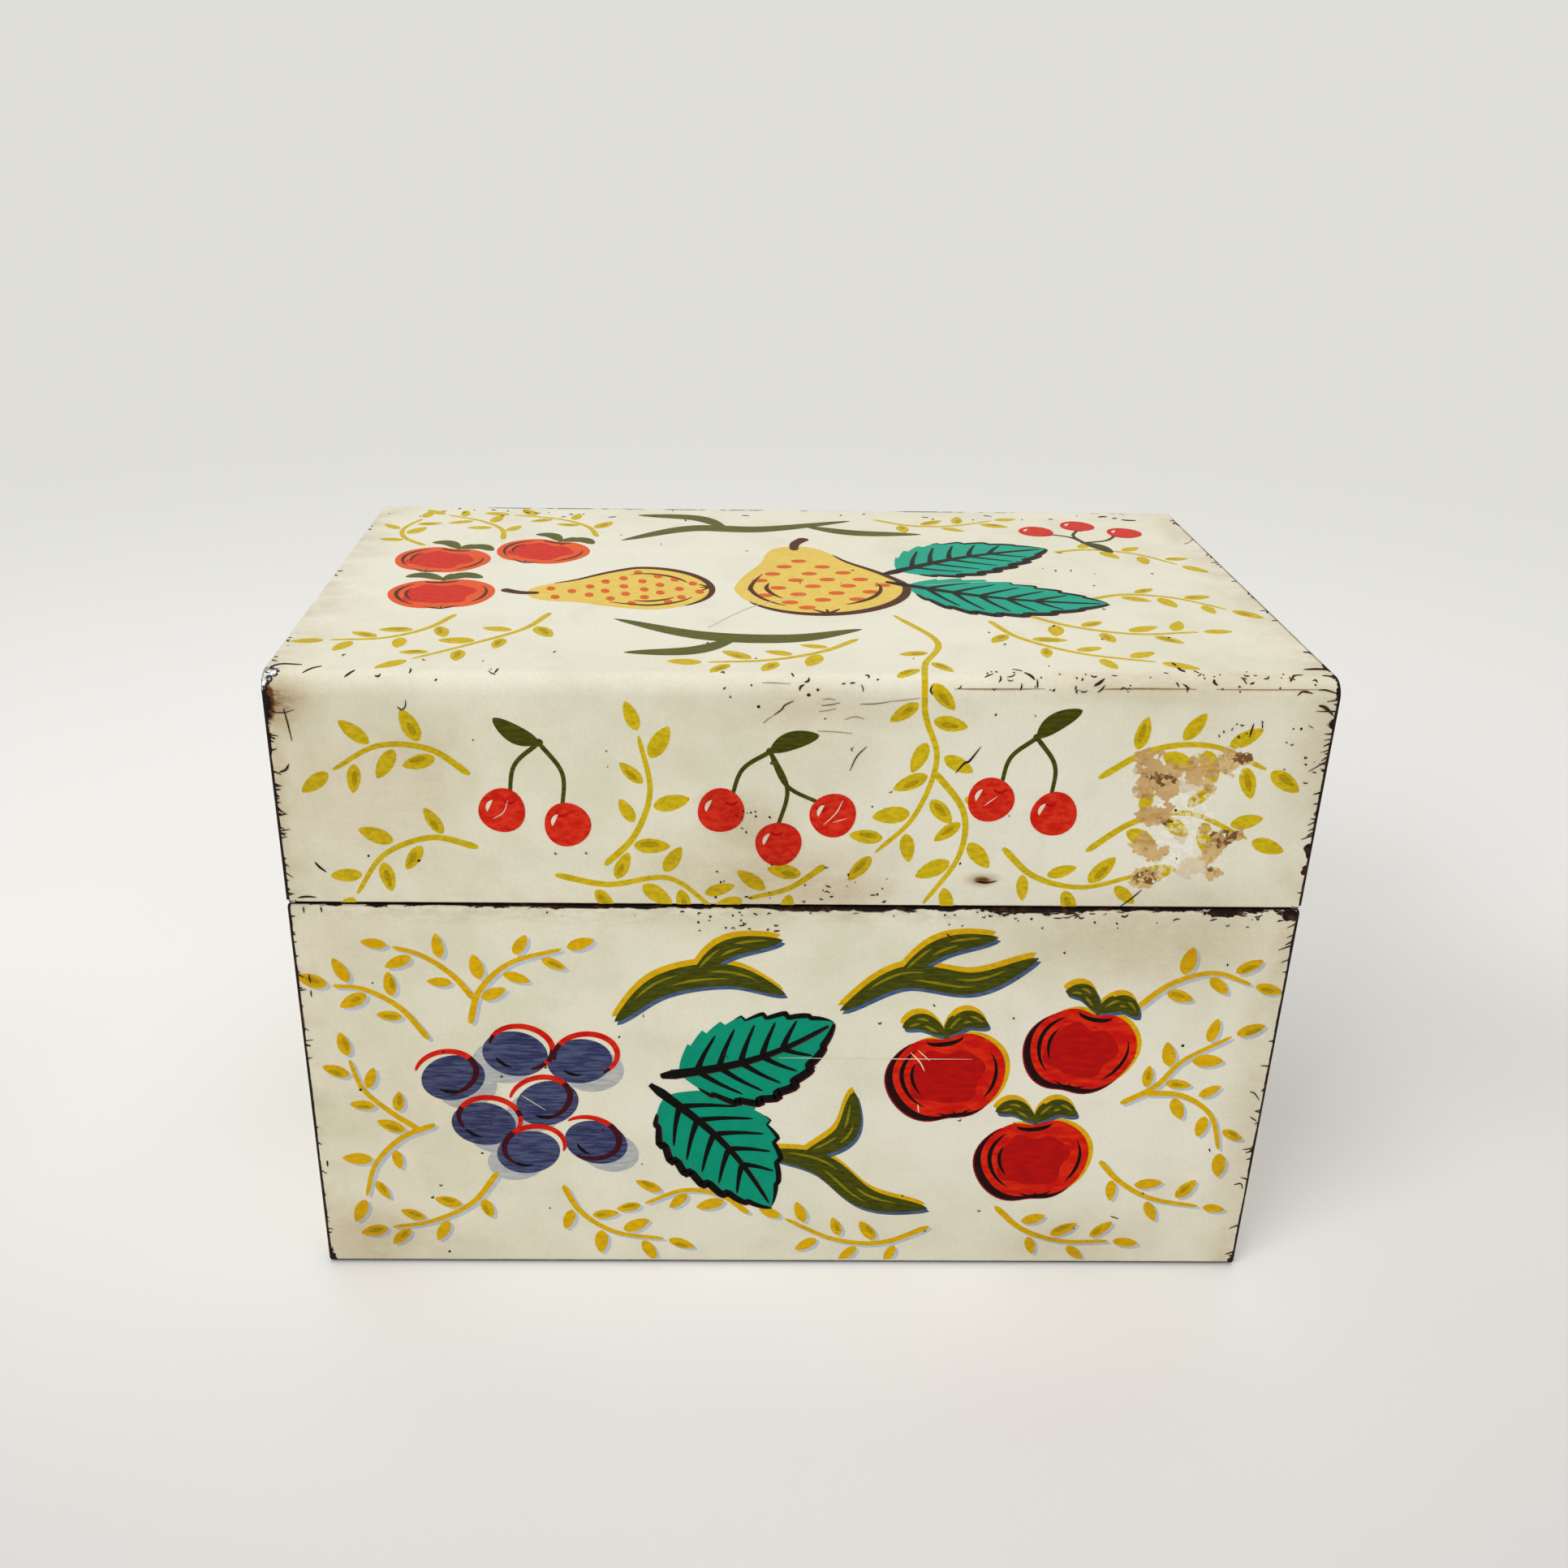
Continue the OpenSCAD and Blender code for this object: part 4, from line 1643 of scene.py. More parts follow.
@dataclass
class Press:
    """Prints the sheets of one body and lays each ink on the folded tin as one thin piece."""

    body: str
    sheets: list[Sheet]
    sunk: float = 0.03
    rounding: float = 1e-5

    def pull(self, finishes: dict[Ink, bpy.types.Material]) -> None:
        """Makes the pieces of ink.

        Args:
            finishes: the material of each ink.
        """
        for ink in Ink:
            beds = [(sheet.strip, sheet.beds[ink]) for sheet in self.sheets if ink in sheet.beds]
            if not beds:
                continue
            mesh = bpy.data.meshes.new(f"{self.body}_{ink.value.name}")
            whole = bmesh.new()
            for strip, bed in beds:
                self._wrap(bed, strip, ink.lift)
                bed.to_mesh(mesh)
                bed.free()
                whole.from_mesh(mesh)
            bmesh.ops.triangulate(whole, faces=whole.faces)
            bmesh.ops.recalc_face_normals(whole, faces=whole.faces)
            whole.to_mesh(mesh)
            whole.free()
            mesh.materials.append(finishes[ink])
            piece = put_in_scene(mesh.name, mesh)
            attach(piece, self.body)
            log.info("%s has %d triangles", mesh.name, len(mesh.polygons))

    def _cut(self, bed: bmesh.types.BMesh, at: Place, way: Place, **trim: bool) -> None:
        """Cuts flat ink along a line.

        Args:
            bed: the flat ink.
            at: a place on the line.
            way: the direction square to it.
            trim: which side is cleared away, if one is.
        """
        parts = [*bed.verts, *bed.edges, *bed.faces]
        bmesh.ops.bisect_plane(bed, geom=parts, dist=self.rounding, plane_co=at, plane_no=way, **trim)

    def _wrap(self, bed: bmesh.types.BMesh, strip: Strip, lift: float) -> None:
        """Trims flat ink, cuts it at the bends, gives it thickness and folds it round the tin.

        Args:
            bed: the flat ink.
            strip: the tin it goes on.
            lift: height of its top over the coat, in millimetres.
        """
        for way in (RIGHTWARD, ONWARD):
            self._cut(bed, (*strip.least, 0), way, clear_inner=True)
            self._cut(bed, (*strip.most, 0), way, clear_outer=True)
        for crease in strip.creases():
            self._cut(bed, (0, crease, 0), ONWARD)
        tops = set(bed.verts)
        bmesh.ops.extrude_face_region(bed, geom=bed.faces[:])
        for vert in bed.verts:
            rise = lift + vert.co.z if vert in tops else -self.sunk
            vert.co = strip.wrap(vert.co.x, vert.co.y, rise)


MARGIN = 0.3
HINGE_MARGIN = 4.0
HALF = TIN.width / 2 - TIN.crease
FLAT_END = TIN.depth / 2 - TIN.crimp - MARGIN
END_X = TIN.width / 2 - TIN.sheet
LID_EDGE = TIN.seam + TIN.gap / 2 + 0.05
BASE_EDGE = TIN.seam - TIN.gap / 2 - MARGIN
FRONT_FOOT = (0, -TIN.depth / 2, 0)
BACK_FOOT = (0, TIN.depth / 2, 0)
LID_LEGS = (TIN.height - TIN.lid_bend, TIN.depth - 2 * TIN.lid_bend, 20.0)
LID_TOP_MIDDLE = TIN.height - TIN.lid_bend + TIN.lid_bend * math.pi / 2 + TIN.depth / 2 - TIN.lid_bend
LID_WRAP = Strip(FRONT_FOOT, RIGHTWARD, UPRIGHT, (-HALF, LID_EDGE), (HALF, 180), LID_LEGS)
FRONT = Strip(FRONT_FOOT, RIGHTWARD, UPRIGHT, (-HALF, 1), (HALF, BASE_EDGE))
BACK = Strip(BACK_FOOT, LEFTWARD, UPRIGHT, (-HALF, 1), (HALF, TIN.seam - HINGE_MARGIN))
LID_BACK = Strip(BACK_FOOT, LEFTWARD, UPRIGHT, (-HALF, TIN.seam + HINGE_MARGIN), (HALF, TIN.height - 3))


def end_strips(lowest: float, highest: float) -> list[Strip]:
    """Both end panels of a body, printed from one height to another."""
    corners = ((-FLAT_END, lowest), (FLAT_END, highest))
    return [Strip((side * END_X, 0, 0), (0, side, 0), UPRIGHT, *corners) for side in (1, -1)]


LID_ENDS = end_strips(LID_EDGE, TIN.height - TIN.crimp - MARGIN)
BASE_ENDS = end_strips(TIN.crimp + MARGIN, BASE_EDGE)


# Single marks: each one's width, then the points it passes through.
LID_CRACKS = (
    (0.28, (19.9, 81.2), (21, 82.6), (21.6, 82.9), (22.9, 84.9)),
    (0.14, (6.3, 81.4), (7.1, 83.4), (8.3, 84.8)),
    (0.18, (-3.7, 89), (-2.7, 89.8), (-2.3, 90.4), (-1.2, 91)),
    (0.26, (-0.5, 92.3), (-0.4, 92.8), (0.1, 93.1)), (0.26, (0.1, 93.4), (0.6, 93.6), (0.7, 94.1)),
    (0.4, (0.4, 91.8), (0.9, 91.8)), (0.07, (2.3, 90.4), (3.5, 90.5), (4.6, 90.8)),
    (0.07, (7.2, 90.6), (9.3, 90.7), (10.9, 91)), (0.16, (4.8, 93.2), (5.3, 93.3)),
    (0.18, (5.8, 93.3), (6.5, 93.4)), (0.2, (-1.5, 94.9), (-1.2, 94.2)),
    (0.2, (-10.1, 92.4), (-9.8, 92.7)), (0.16, (-9.3, 91.3), (-9.1, 91.6)),
    (0.3, (67.6, 148.9), (67.45, 147.8)), (0.3, (67.5, 129.7), (67.4, 129)),
    (0.3, (67.5, 121.3), (67.3, 120.4)), (0.26, (66.6, 104), (67.2, 104.1), (67.6, 103.2)),
    (0.3, (66.8, 167.7), (67.3, 168.7), (67.6, 166.2)), (0.22, (57.1, 86.5), (57.4, 88.4)),
    (0.18, (43.5, 61.7), (44.9, 63), (46.1, 64.3)), (0.28, (-63.6, 67.7), (-63, 66.9), (-62.2, 66.2)),
    (0.16, (-65.4, 89.4), (-65.1, 87.6), (-64.8, 85)),
    (0.12, (-67.2, 89.3), (-66.4, 88.9), (-65.3, 88.9), (-64.1, 89.3)),
    (0.16, (-51.1, 89.8), (-50.6, 89.4), (-50.1, 89.8), (-50, 90.7)),
    (0.26, (-66.4, 62.3), (-65.2, 62.5), (-63.9, 62.4)), (0.36, (-50.1, 68), (-49.7, 68)),
    (0.3, (-56.6, 68.7), (-56.3, 68.6)), (0.3, (-66.9, 80.6), (-66, 81), (-65.5, 81.8)),
    (0.34, (28.1, 95.6), (28.8, 94.7), (29.2, 94)), (0.36, (36.6, 93.2), (37.3, 93.6), (38.1, 94.3)),
    (0.3, (48, 99.6), (48.3, 98.5)), (0.36, (48.3, 98), (48.4, 97), (48.8, 96.2)),
    (0.34, (52, 94.3), (51.9, 93.8), (52.3, 93.4)),
    (0.3, (61.6, 94), (62.1, 94.8), (62.5, 95.3), (63.6, 95.5)),
    (0.4, (65.2, 90.9), (66.2, 90.6), (67.4, 89.5)), (0.22, (23.8, 65.4), (25.2, 65.2), (26.6, 65.5)),
    (0.34, (-67.6, 94.4), (-66.3, 96.5), (-63.4, 96.4)),
    (0.24, (-62.9, 94.2), (-61.6, 95.4), (-60.8, 95.9)), (0.24, (-57.6, 93.6), (-56.4, 94.8)),
    (0.6, (67.6, 97.4), (66.4, 97.7), (64.4, 97.5)), (0.5, (55, 171.9), (55.8, 172.3), (56.6, 172.2)),
    (0.36, (57.2, 171.3), (58.1, 171.2)), (0.5, (58.6, 170.4), (59.6, 170), (61, 169.9)),
    (0.5, (67.6, 99.6), (67.5, 98.2), (67.6, 96.6)), (0.3, (67.6, 94.6), (66.8, 95.2), (66, 95.3)),
    (0.2, (67.6, 92.4), (66, 92.9), (65, 92.9)),
)
LID_SCUFFS = (
    (0.2, (19, 92.7), (24, 92.7), (30.4, 92.8)), (0.2, (37.6, 92.8), (42, 92.9), (49.6, 92.9)),
    (0.14, (52, 92.9), (59, 92.9), (66, 93)), (0.09, (-5.3, 93.3), (-4.1, 93.3), (-1.7, 93.2)),
    (0.08, (10.9, 91), (12.6, 91.2), (14.7, 91.5)), (0.09, (2.4, 91.2), (3.3, 91.3), (4.1, 91.1)),
    (0.09, (2, 89.6), (3, 89.7), (4.2, 90)), (0.09, (1.9, 86.9), (4.3, 86.8), (6.4, 86.6)),
    (0.1, (5.3, 88.5), (6.6, 88.9), (7.8, 88.6)), (0.09, (-5, 87.9), (-4.4, 88.5), (-3.8, 88.9)),
    (0.12, (65.2, 155.6), (66.3, 156.6), (67.4, 158.4)), (0.08, (67.5, 99), (67.55, 135), (67.5, 171)),
)
LID_SPARED = (
    (0.14, (3.2, 73.6), (4.8, 75.4), (5.6, 77.2)), (0.1, (4.4, 74), (6.2, 74.6)),
    (0.12, (-39.8, 74.2), (-38.4, 75.2), (-37.8, 76.9)), (0.12, (24, 76.6), (25.6, 77.9)),
    (0.14, (-12, 112), (-6, 121), (2, 127)), (0.1, (20, 132), (30, 134), (38, 133)),
)
BASE_CRACKS = (
    (0.18, (-65.8, 61), (-65.8, 60)), (0.18, (-63.5, 61), (-63.4, 60.1)), (0.2, (-66.1, 50.4), (-66, 49)),
    (0.18, (-66.1, 47.9), (-66.1, 46.8)), (0.24, (-66.6, 19), (-66.6, 17.9)),
    (0.18, (65.6, 31.8), (66.4, 31.4), (67.2, 30.2)), (0.18, (65.8, 15.2), (66.8, 15.4), (67.2, 14.4)),
    (0.18, (66.3, 27.4), (67.4, 26.6)), (0.2, (20.5, 57.4), (21.4, 56.4)),
    (0.16, (48.3, 9.3), (49.6, 8.8)), (0.34, (-48.8, 37.9), (-48.4, 37.9)),
    (0.28, (-44.3, 20.4), (-43.9, 20.4)), (0.16, (-9.4, 37.8), (-8.7, 37)),
)
BASE_SPARED = (
    (0.12, (-1.7, 37.2), (11, 37.1), (25.6, 37.1)), (0.2, (16.8, 38.2), (18.2, 36.6), (19, 35)),
    (0.14, (17.8, 38.6), (19.6, 36.8)), (0.18, (18.4, 29.4), (18.6, 27.9)),
    (0.1, (-38, 30.6), (-34.6, 28)),
)


@dataclass
class Knocks:
    """Cracks that start at the folds, scratches and small flaked marks, in old rust's brown."""

    dice: random.Random = field(default_factory=lambda: random.Random(WEAR_SEED))

    def teeth(self, sheet: Sheet, side: int, span: Point, reach: float, pitch: float) -> None:
        """Short cracks that start at a side fold.

        Args:
            sheet: the tin they are in.
            side: 1 for the fold at the right end, -1 for the left.
            span: first and last place along the sheet.
            reach: their usual length.
            pitch: their usual distance.
        """
        at = span[0]
        while at < span[1]:
            length = min(self.dice.expovariate(1 / reach), 3 * reach) + 0.3
            slope = self.dice.uniform(-0.9, 0.3) * length
            bow = self.dice.uniform(-0.2, 0.2)
            line = [
                (side * (HALF - length * s), at + slope * s + bow * s * (1 - s)) for s in (0.0, 0.5, 1.0)
            ]
            sheet.stroke(Ink.CRACK, curve(line, 4), stem_width(self.dice.uniform(0.14, 0.3), 0.2))
            at += self.dice.expovariate(1 / pitch) + 0.12

    def scatter(
        self, sheet: Sheet, least: Point, most: Point, count: int, longest: float, level: bool
    ) -> None:
        """Small bent scratches all over an area.

        Args:
            sheet: the tin they are in.
            least: the area's lowest corner.
            most: its highest corner.
            count: how many.
            longest: the greatest length.
            level: True if they lie rather flat.
        """
        for _ in range(count):
            middle = Vector((self.dice.uniform(least[0], most[0]), self.dice.uniform(least[1], most[1])))
            turn = self.dice.uniform(-28, 28) if level else self.dice.uniform(0, 180)
            half = Vector((longest * self.dice.uniform(0.12, 1) ** 1.6 / 2, 0))
            bow = Vector((0, self.dice.uniform(-0.3, 0.3)))
            line = [middle + turned(v, turn) for v in (-half, bow, half)]
            sheet.stroke(Ink.CRACK, curve(line, 4), brush_width(self.dice.uniform(0.09, 0.24), 0.4))

    @staticmethod
    def marks(sheet: Sheet, ink: Ink, lines: Sequence[tuple[float | Point, ...]]) -> None:
        """Single marks.

        Args:
            sheet: the tin they are in.
            ink: their colour.
            lines: each one's width, and then the points it passes through.
        """
        for width, *points in lines:
            sheet.stroke(ink, curve(points, 5), brush_width(width, 0.45, 0.5))

    def on_lid(self, sheet: Sheet) -> None:
        """Marks the lid's front, bend and top.

        Args:
            sheet: the tin they are in.
        """
        for edge in (
            (-1, (LID_EDGE, 91), 0.34, 0.8),
            (1, (LID_EDGE, 82), 0.4, 1.3),
            (1, (82, 92), 0.75, 0.6),
            (-1, (98, 172), 0.3, 9.0),
            (1, (98, 172), 0.32, 5.0),
        ):
            self.teeth(sheet, *edge)
        for area in (
            ((22, 92.4), (66, 96.6), 62, 1.5, False),
            ((-60, 92.4), (22, 95.6), 14, 1.4, False),
            ((62, 78), (66.8, 91.5), 12, 0.8, True),
            ((-12, 62.2), (14, 67.4), 24, 0.8, True),
            ((-9, 72), (-3.6, 76), 12, 0.8, False),
            ((52, 86.4), (60, 89), 9, 0.9, False),
            ((-60, 64), (60, 90), 20, 0.7, False),
            ((-62, 98), (62, 172), 34, 0.9, False),
            ((-60, 168), (60, 174), 26, 1.6, True),
        ):
            self.scatter(sheet, *area)
        self.marks(sheet, Ink.CRACK, LID_CRACKS)
        self.marks(sheet, Ink.SCUFF, LID_SCUFFS)
        self.marks(sheet, Ink.SPARED, LID_SPARED)

    def on_back(self, sheet: Sheet) -> None:
        """Marks the back of the lid or the base, which saw less handling.

        Args:
            sheet: the tin they are in.
        """
        least, most = sheet.strip.least, sheet.strip.most
        for side in (-1, 1):
            self.teeth(sheet, side, (least[1], most[1]), 0.3, 2.6)
        self.scatter(sheet, (least[0] + 4, least[1] + 2), (most[0] - 4, most[1] - 1), 30, 0.8, False)

    def on_end(self, sheet: Sheet) -> None:
        """Marks an end panel."""
        self.scatter(sheet, sheet.strip.least, sheet.strip.most, 22, 0.8, False)

    def on_base(self, sheet: Sheet) -> None:
        """Marks the base's front.

        Args:
            sheet: the tin they are in.
        """
        for edge in (
            (-1, (2, BASE_EDGE), 0.25, 3.2),
            (1, (2, BASE_EDGE), 0.5, 2.4),
        ):
            self.teeth(sheet, *edge)
        for area in (
            ((-16, 57.6), (2, 60.6), 20, 0.9, True),
            ((20, 58.4), (66, 60.9), 40, 1.3, True),
            ((-40, 59.8), (20, 60.8), 9, 0.8, True),
            ((-63, 4), (64, 56), 34, 0.6, False),
        ):
            self.scatter(sheet, *area)
        self.marks(sheet, Ink.CRACK, BASE_CRACKS)
        self.marks(sheet, Ink.SPARED, BASE_SPARED)


@dataclass
class LidPrint:
    """Fruit over the lid's top, a vine that runs over its front bend, and cherries on its front."""

    wrap: Sheet = field(default_factory=lambda: Sheet(LID_WRAP))
    back: Sheet = field(default_factory=lambda: Sheet(LID_BACK))
    ends: list[Sheet] = field(default_factory=lambda: [Sheet(strip) for strip in LID_ENDS])

    def front(self) -> Iterator[Motif]:
        """Lists the motifs of the front and the vine over the bend. Their y is the height on the box.

        Yields:
            Each motif.
        """
        yield Cherries((-33.5, 85), ((-38.6, 75.4), (-30.2, 73.4)), leaf_turn=150)
        yield Cherries((-4, 84), ((-10.2, 75.6), (-2.6, 70.8), (4.4, 75)), leaf_turn=20)
        yield Cherries((30, 86.2), ((24.8, 77.4), (33.2, 75.4)), leaf_turn=35)
        for stem in (
            ((-42.5, 80.5), (-47.5, 84), (-54, 84.4), (-60, 81)),
            ((-42, 70), (-48, 71.4), (-54.4, 68.8), (-58.4, 63)),
            ((-25.4, 67.5), (-21.4, 72), (-19.4, 78.4), (-20.8, 86)),
            ((-32, 66), (-25, 64.6), (-17, 65.6), (-11, 61)),
            ((14, 118), (18.6, 107), (15.8, 98), (15.4, 90), (17.4, 83), (15, 75), (10.2, 69.6)),
            ((17.2, 81.4), (21.4, 75.6), (21.2, 69), (17, 62)),
            ((38, 70), (44, 74.4), (51, 75.6), (59, 72)),
            ((38.5, 80.6), (45, 84.6), (52.5, 85.2), (60, 82)),
            ((27, 70.4), (31.5, 66.2), (38, 64.6), (45, 66.4)),
            ((3.6, 67.6), (-1, 64.2), (-6.4, 62.6)),
        ):
            yield Sprig(stem, Ink.STRAW, False, 4.4)

    def top(self) -> Iterator[Motif]:
        """Lists the motifs of the top, measured from its middle.

        Yields:
            Each motif.
        """
        yield BroadLeaf(Placing(17, 4.5, 27), 28, 16, ink=Ink.JADE)
        yield BroadLeaf(Placing(17.6, -3, -16), 29, 15.5, curl=-0.14, ink=Ink.JADE)
        for spine, width in (
            (((-26, 20), (-15, 27.4), (-3, 27.4), (12, 33)), 3.6),
            (((-9, 28), (-14, 34), (-24, 35.6)), 3),
            (((4, 29.4), (12, 25.6), (23, 25)), 3),
            (((-25, -19.4), (-13, -26), (-1, -27), (9, -23)), 3.4),
            (((-8, -27), (-14, -32), (-23, -33)), 2.8),
        ):
            yield SlimLeaf(spine, width, False, ink=Ink.FERN)
        yield Pear(Placing(-21.5, -6, 98, 1.12))
        yield Pear(Placing(3.6, -4, 6, 1.42))
        yield Apple(Placing(-50.5, -8.5, 8, 1), LIGHT_FRUIT)
        yield Apple(Placing(-53, 8.5, -14, 0.96), LIGHT_FRUIT)
        yield Apple(Placing(-38, 13.5, -20, 0.96), LIGHT_FRUIT)
        yield Cherries((49, 21), ((42.4, 27.4), (50, 31), (57, 27)), 2.9, -60)
        for stem in (
            ((-47, -18), (-50, -24), (-55, -28), (-62, -29)),
            ((-34, -17), (-37, -24), (-43, -30), (-50, -36)),
            ((-57, 16), (-61, 20.6), (-62, 26), (-60, 32)),
            ((-45, 20), (-46, 26), (-50, 31), (-56, 34.6)),
            ((-30, 22), (-32, 28), (-37, 32.6), (-45, 35)),
            ((16, 34), (22, 30.4), (29, 30.6), (36, 34)),
            ((43, 15.4), (49, 17), (56, 14.6), (61, 9)),
            ((43, -9), (49, -6.4), (56, -8), (62, -13)),
            ((32, -15.6), (38, -21), (46, -24), (55, -23)),
            ((27, -19), (30, -26), (37, -32), (46, -35)),
            ((8, -27), (3, -32), (-4, -35.4), (-12, -36.4)),
        ):
            yield Sprig(stem, Ink.STRAW, False, 4.4)

    @staticmethod
    def end() -> Iterator[Motif]:
        """Lists the motifs of an end.

        Yields:
            Each motif.
        """
        yield Cherries((2, 85), ((-4.4, 76.6), (4.4, 73.8)), leaf_turn=150)
        for stem in (
            ((8, 69), (16, 74), (24, 75), (33, 71.5)),
            ((-8, 69), (-16, 70), (-24, 74), (-33, 75)),
            ((9, 81), (15, 85), (23, 86), (32, 83)),
        ):
            yield Sprig(stem, Ink.STRAW, False, 4.2)

    @staticmethod
    def rear() -> Iterator[Motif]:
        """Lists the motifs of the back.

        Yields:
            Each motif.
        """
        yield Cherries((1, 87), ((-5.4, 78.4), (3.6, 76.2)), leaf_turn=25)
        for stem in (
            ((10, 80), (18, 85.4), (30, 86.6), (42, 83)),
            ((-9, 74), (-18, 70.4), (-30, 71.6), (-42, 77)),
            ((24, 76), (32, 72), (42, 71.4), (52, 75)),
            ((-22, 82), (-30, 86.2), (-40, 87), (-50, 84)),
            ((57, 86), (60.4, 81), (61, 75), (58.6, 69.6)),
            ((-54, 72), (-59.6, 75.6), (-61.6, 81), (-60, 87)),
        ):
            yield Sprig(stem, Ink.STRAW, False, 4.2)

    def print_all(self) -> Press:
        """Prints every face of the lid.

        Returns:
            The press that holds them.
        """
        for motif in self.front():
            motif.print_on(self.wrap)
        for motif in self.top():
            motif.print_on(self.wrap.moved(0, LID_TOP_MIDDLE))
        for sheet in self.ends:
            for motif in self.end():
                motif.print_on(sheet)
        for motif in self.rear():
            motif.print_on(self.back)
        Knocks().on_lid(self.wrap)
        Knocks().on_back(self.back)
        for sheet in self.ends:
            Knocks().on_end(sheet)
        return Press("lid", [self.wrap, self.back, *self.ends])


@dataclass
class BasePrint:
    """Plums, teal leaves and apples in a loose garland on the base's front, and sprigs all round it."""

    face: Sheet = field(default_factory=lambda: Sheet(FRONT))
    back: Sheet = field(default_factory=lambda: Sheet(BACK))
    ends: list[Sheet] = field(default_factory=lambda: [Sheet(strip) for strip in BASE_ENDS])

    def front(self) -> Iterator[Motif]:
        """Lists the motifs of the front. Their y is the height on the box.

        Yields:
            Each motif.
        """
        yield PlumHeap((
            (-47.5, 33.5, 20), (-38.6, 37.6, -12), (-43.6, 25.6, -8), (-34.4, 29.2, 24), (-29.6, 36.4, 8),
            (-37.4, 20.6, 14), (-27.6, 22.4, -20),
        ))
        yield BroadLeaf(Placing(-17.5, 30.5, -52), 25, 15)
        yield BroadLeaf(Placing(-15.5, 34.5, 22), 23, 14, curl=-0.14)
        for spine, width in (
            (((-5, 21), (4.6, 18.8), (12, 12.4), (21, 10.6)), 3.9),
            (((2, 19.8), (8.2, 24), (9.2, 31.4)), 3.3),
            (((6.6, 45), (15, 50.4), (25, 49.6), (33.4, 53.6)), 3.7),
            (((14, 50), (20, 55.2), (27.6, 56.8)), 2.8),
            (((-24.6, 43), (-18, 49), (-9, 50.6), (-1, 47.6)), 3.7),
            (((-14, 50.2), (-9, 54.8), (-1.6, 56.2)), 2.8),
        ):
            yield SlimLeaf(spine, width)
        yield Apple(Placing(22.5, 34.5, 10, 1.04))
        yield Apple(Placing(41, 39, -12, 0.98))
        yield Apple(Placing(36, 20, 6, 1.02))
        for stem in (
            ((-50.5, 40), (-54, 45), (-58.6, 48), (-63, 48.6)),
            ((-44.6, 42.6), (-43, 48), (-38.6, 52.4), (-31.6, 54.6)),
            ((-43.7, 46.4), (-46.6, 50.4), (-50.4, 53.4), (-54.4, 54.8)),
            ((-50.6, 25.4), (-55.6, 23), (-59.6, 18.4), (-61.4, 12.6)),
            ((-53, 24.6), (-57, 27.8), (-60.4, 31.6), (-61.8, 36.4)),
            ((-42, 17), (-46, 11.4), (-52, 8), (-58, 6.8)),
            ((-32.6, 14.6), (-30, 9.6), (-25, 6), (-18, 4.8)),
            ((47.6, 45.6), (52, 49.6), (57.6, 51.4), (63, 49.6)),
            ((47.4, 29.6), (52, 32.6), (55.4, 37), (61.6, 41)),
            ((50.4, 31.4), (56, 31), (60.6, 27.6), (62.6, 21.6)),
            ((45.6, 19.4), (49, 15.6), (54, 12.6), (61, 11.2)),
            ((31, 11), (35.4, 6.8), (41.4, 4.6), (48.4, 4.6)),
            ((21.4, 7.2), (14.6, 4.2), (7.4, 4.8), (0, 8.6)),
            ((-5.4, 9.6), (-9.6, 13), (-15, 13.8), (-20.6, 11.4)),
        ):
            yield Sprig(stem)

    @staticmethod
    def end() -> Iterator[Motif]:
        """Lists the motifs of an end.

        Yields:
            Each motif.
        """
        yield Apple(Placing(-10.5, 32, -8, 1))
        yield BroadLeaf(Placing(1.5, 28, 24), 21, 12.5)
        for spine, width in (
            (((-4, 20.6), (3.4, 16), (12, 16.4), (20.6, 20)), 3.4),
            (((6, 16), (11, 11), (17.6, 9.6)), 2.8),
        ):
            yield SlimLeaf(spine, width)
        for stem in (
            ((7, 44), (13, 49.4), (21, 51), (30, 47.6)),
            ((24.6, 30), (29.6, 32.6), (33, 37), (34, 43)),
            ((-12, 46), (-17, 51), (-24, 52.6), (-32, 49.4)),
            ((-22, 37), (-27.6, 39.6), (-31.6, 37), (-34, 31.6)),
            ((-16, 18), (-20.6, 12), (-27, 10.4), (-34, 14)),
            ((22, 12), (26.4, 8.4), (30.6, 7.4), (34.6, 9.6)),
            ((2, 8.4), (-4.6, 6.2), (-11, 7.6), (-16, 11)),
        ):
            yield Sprig(stem)

    @staticmethod
    def rear() -> Iterator[Motif]:
        """Lists the motifs of the back.

        Yields:
            Each motif.
        """
        yield PlumHeap(((-4.6, 31, 12), (4.4, 33.6, -10), (0.4, 24.4, 4)))
        for spine in (((-14, 32), (-24, 38), (-34, 36)), ((14, 30), (24, 23), (35, 25))):
            yield SlimLeaf(spine)
        for stem in (
            ((12, 38), (22, 44), (34, 44.6), (46, 40)),
            ((-12, 24), (-22, 18), (-34, 17), (-46, 21.4)),
            ((-38, 40), (-46, 44.6), (-54, 43), (-60, 37)),
            ((40, 21), (47, 15.6), (54, 16), (60, 21)),
            ((8, 16), (18, 9.4), (30, 8), (42, 9)),
            ((-10, 42), (-18, 48), (-28, 49.4), (-38, 48)),
        ):
            yield Sprig(stem)

    def print_all(self) -> Press:
        """Prints every face of the base.

        Returns:
            The press that holds them.
        """
        work = [(self.face, self.front()), (self.back, self.rear())]
        for sheet, motifs in work + [(sheet, self.end()) for sheet in self.ends]:
            for motif in motifs:
                motif.print_on(sheet)
        Knocks().on_base(self.face)
        Knocks().on_back(self.back)
        for sheet in self.ends:
            Knocks().on_end(sheet)
        return Press("base", [self.face, self.back, *self.ends])


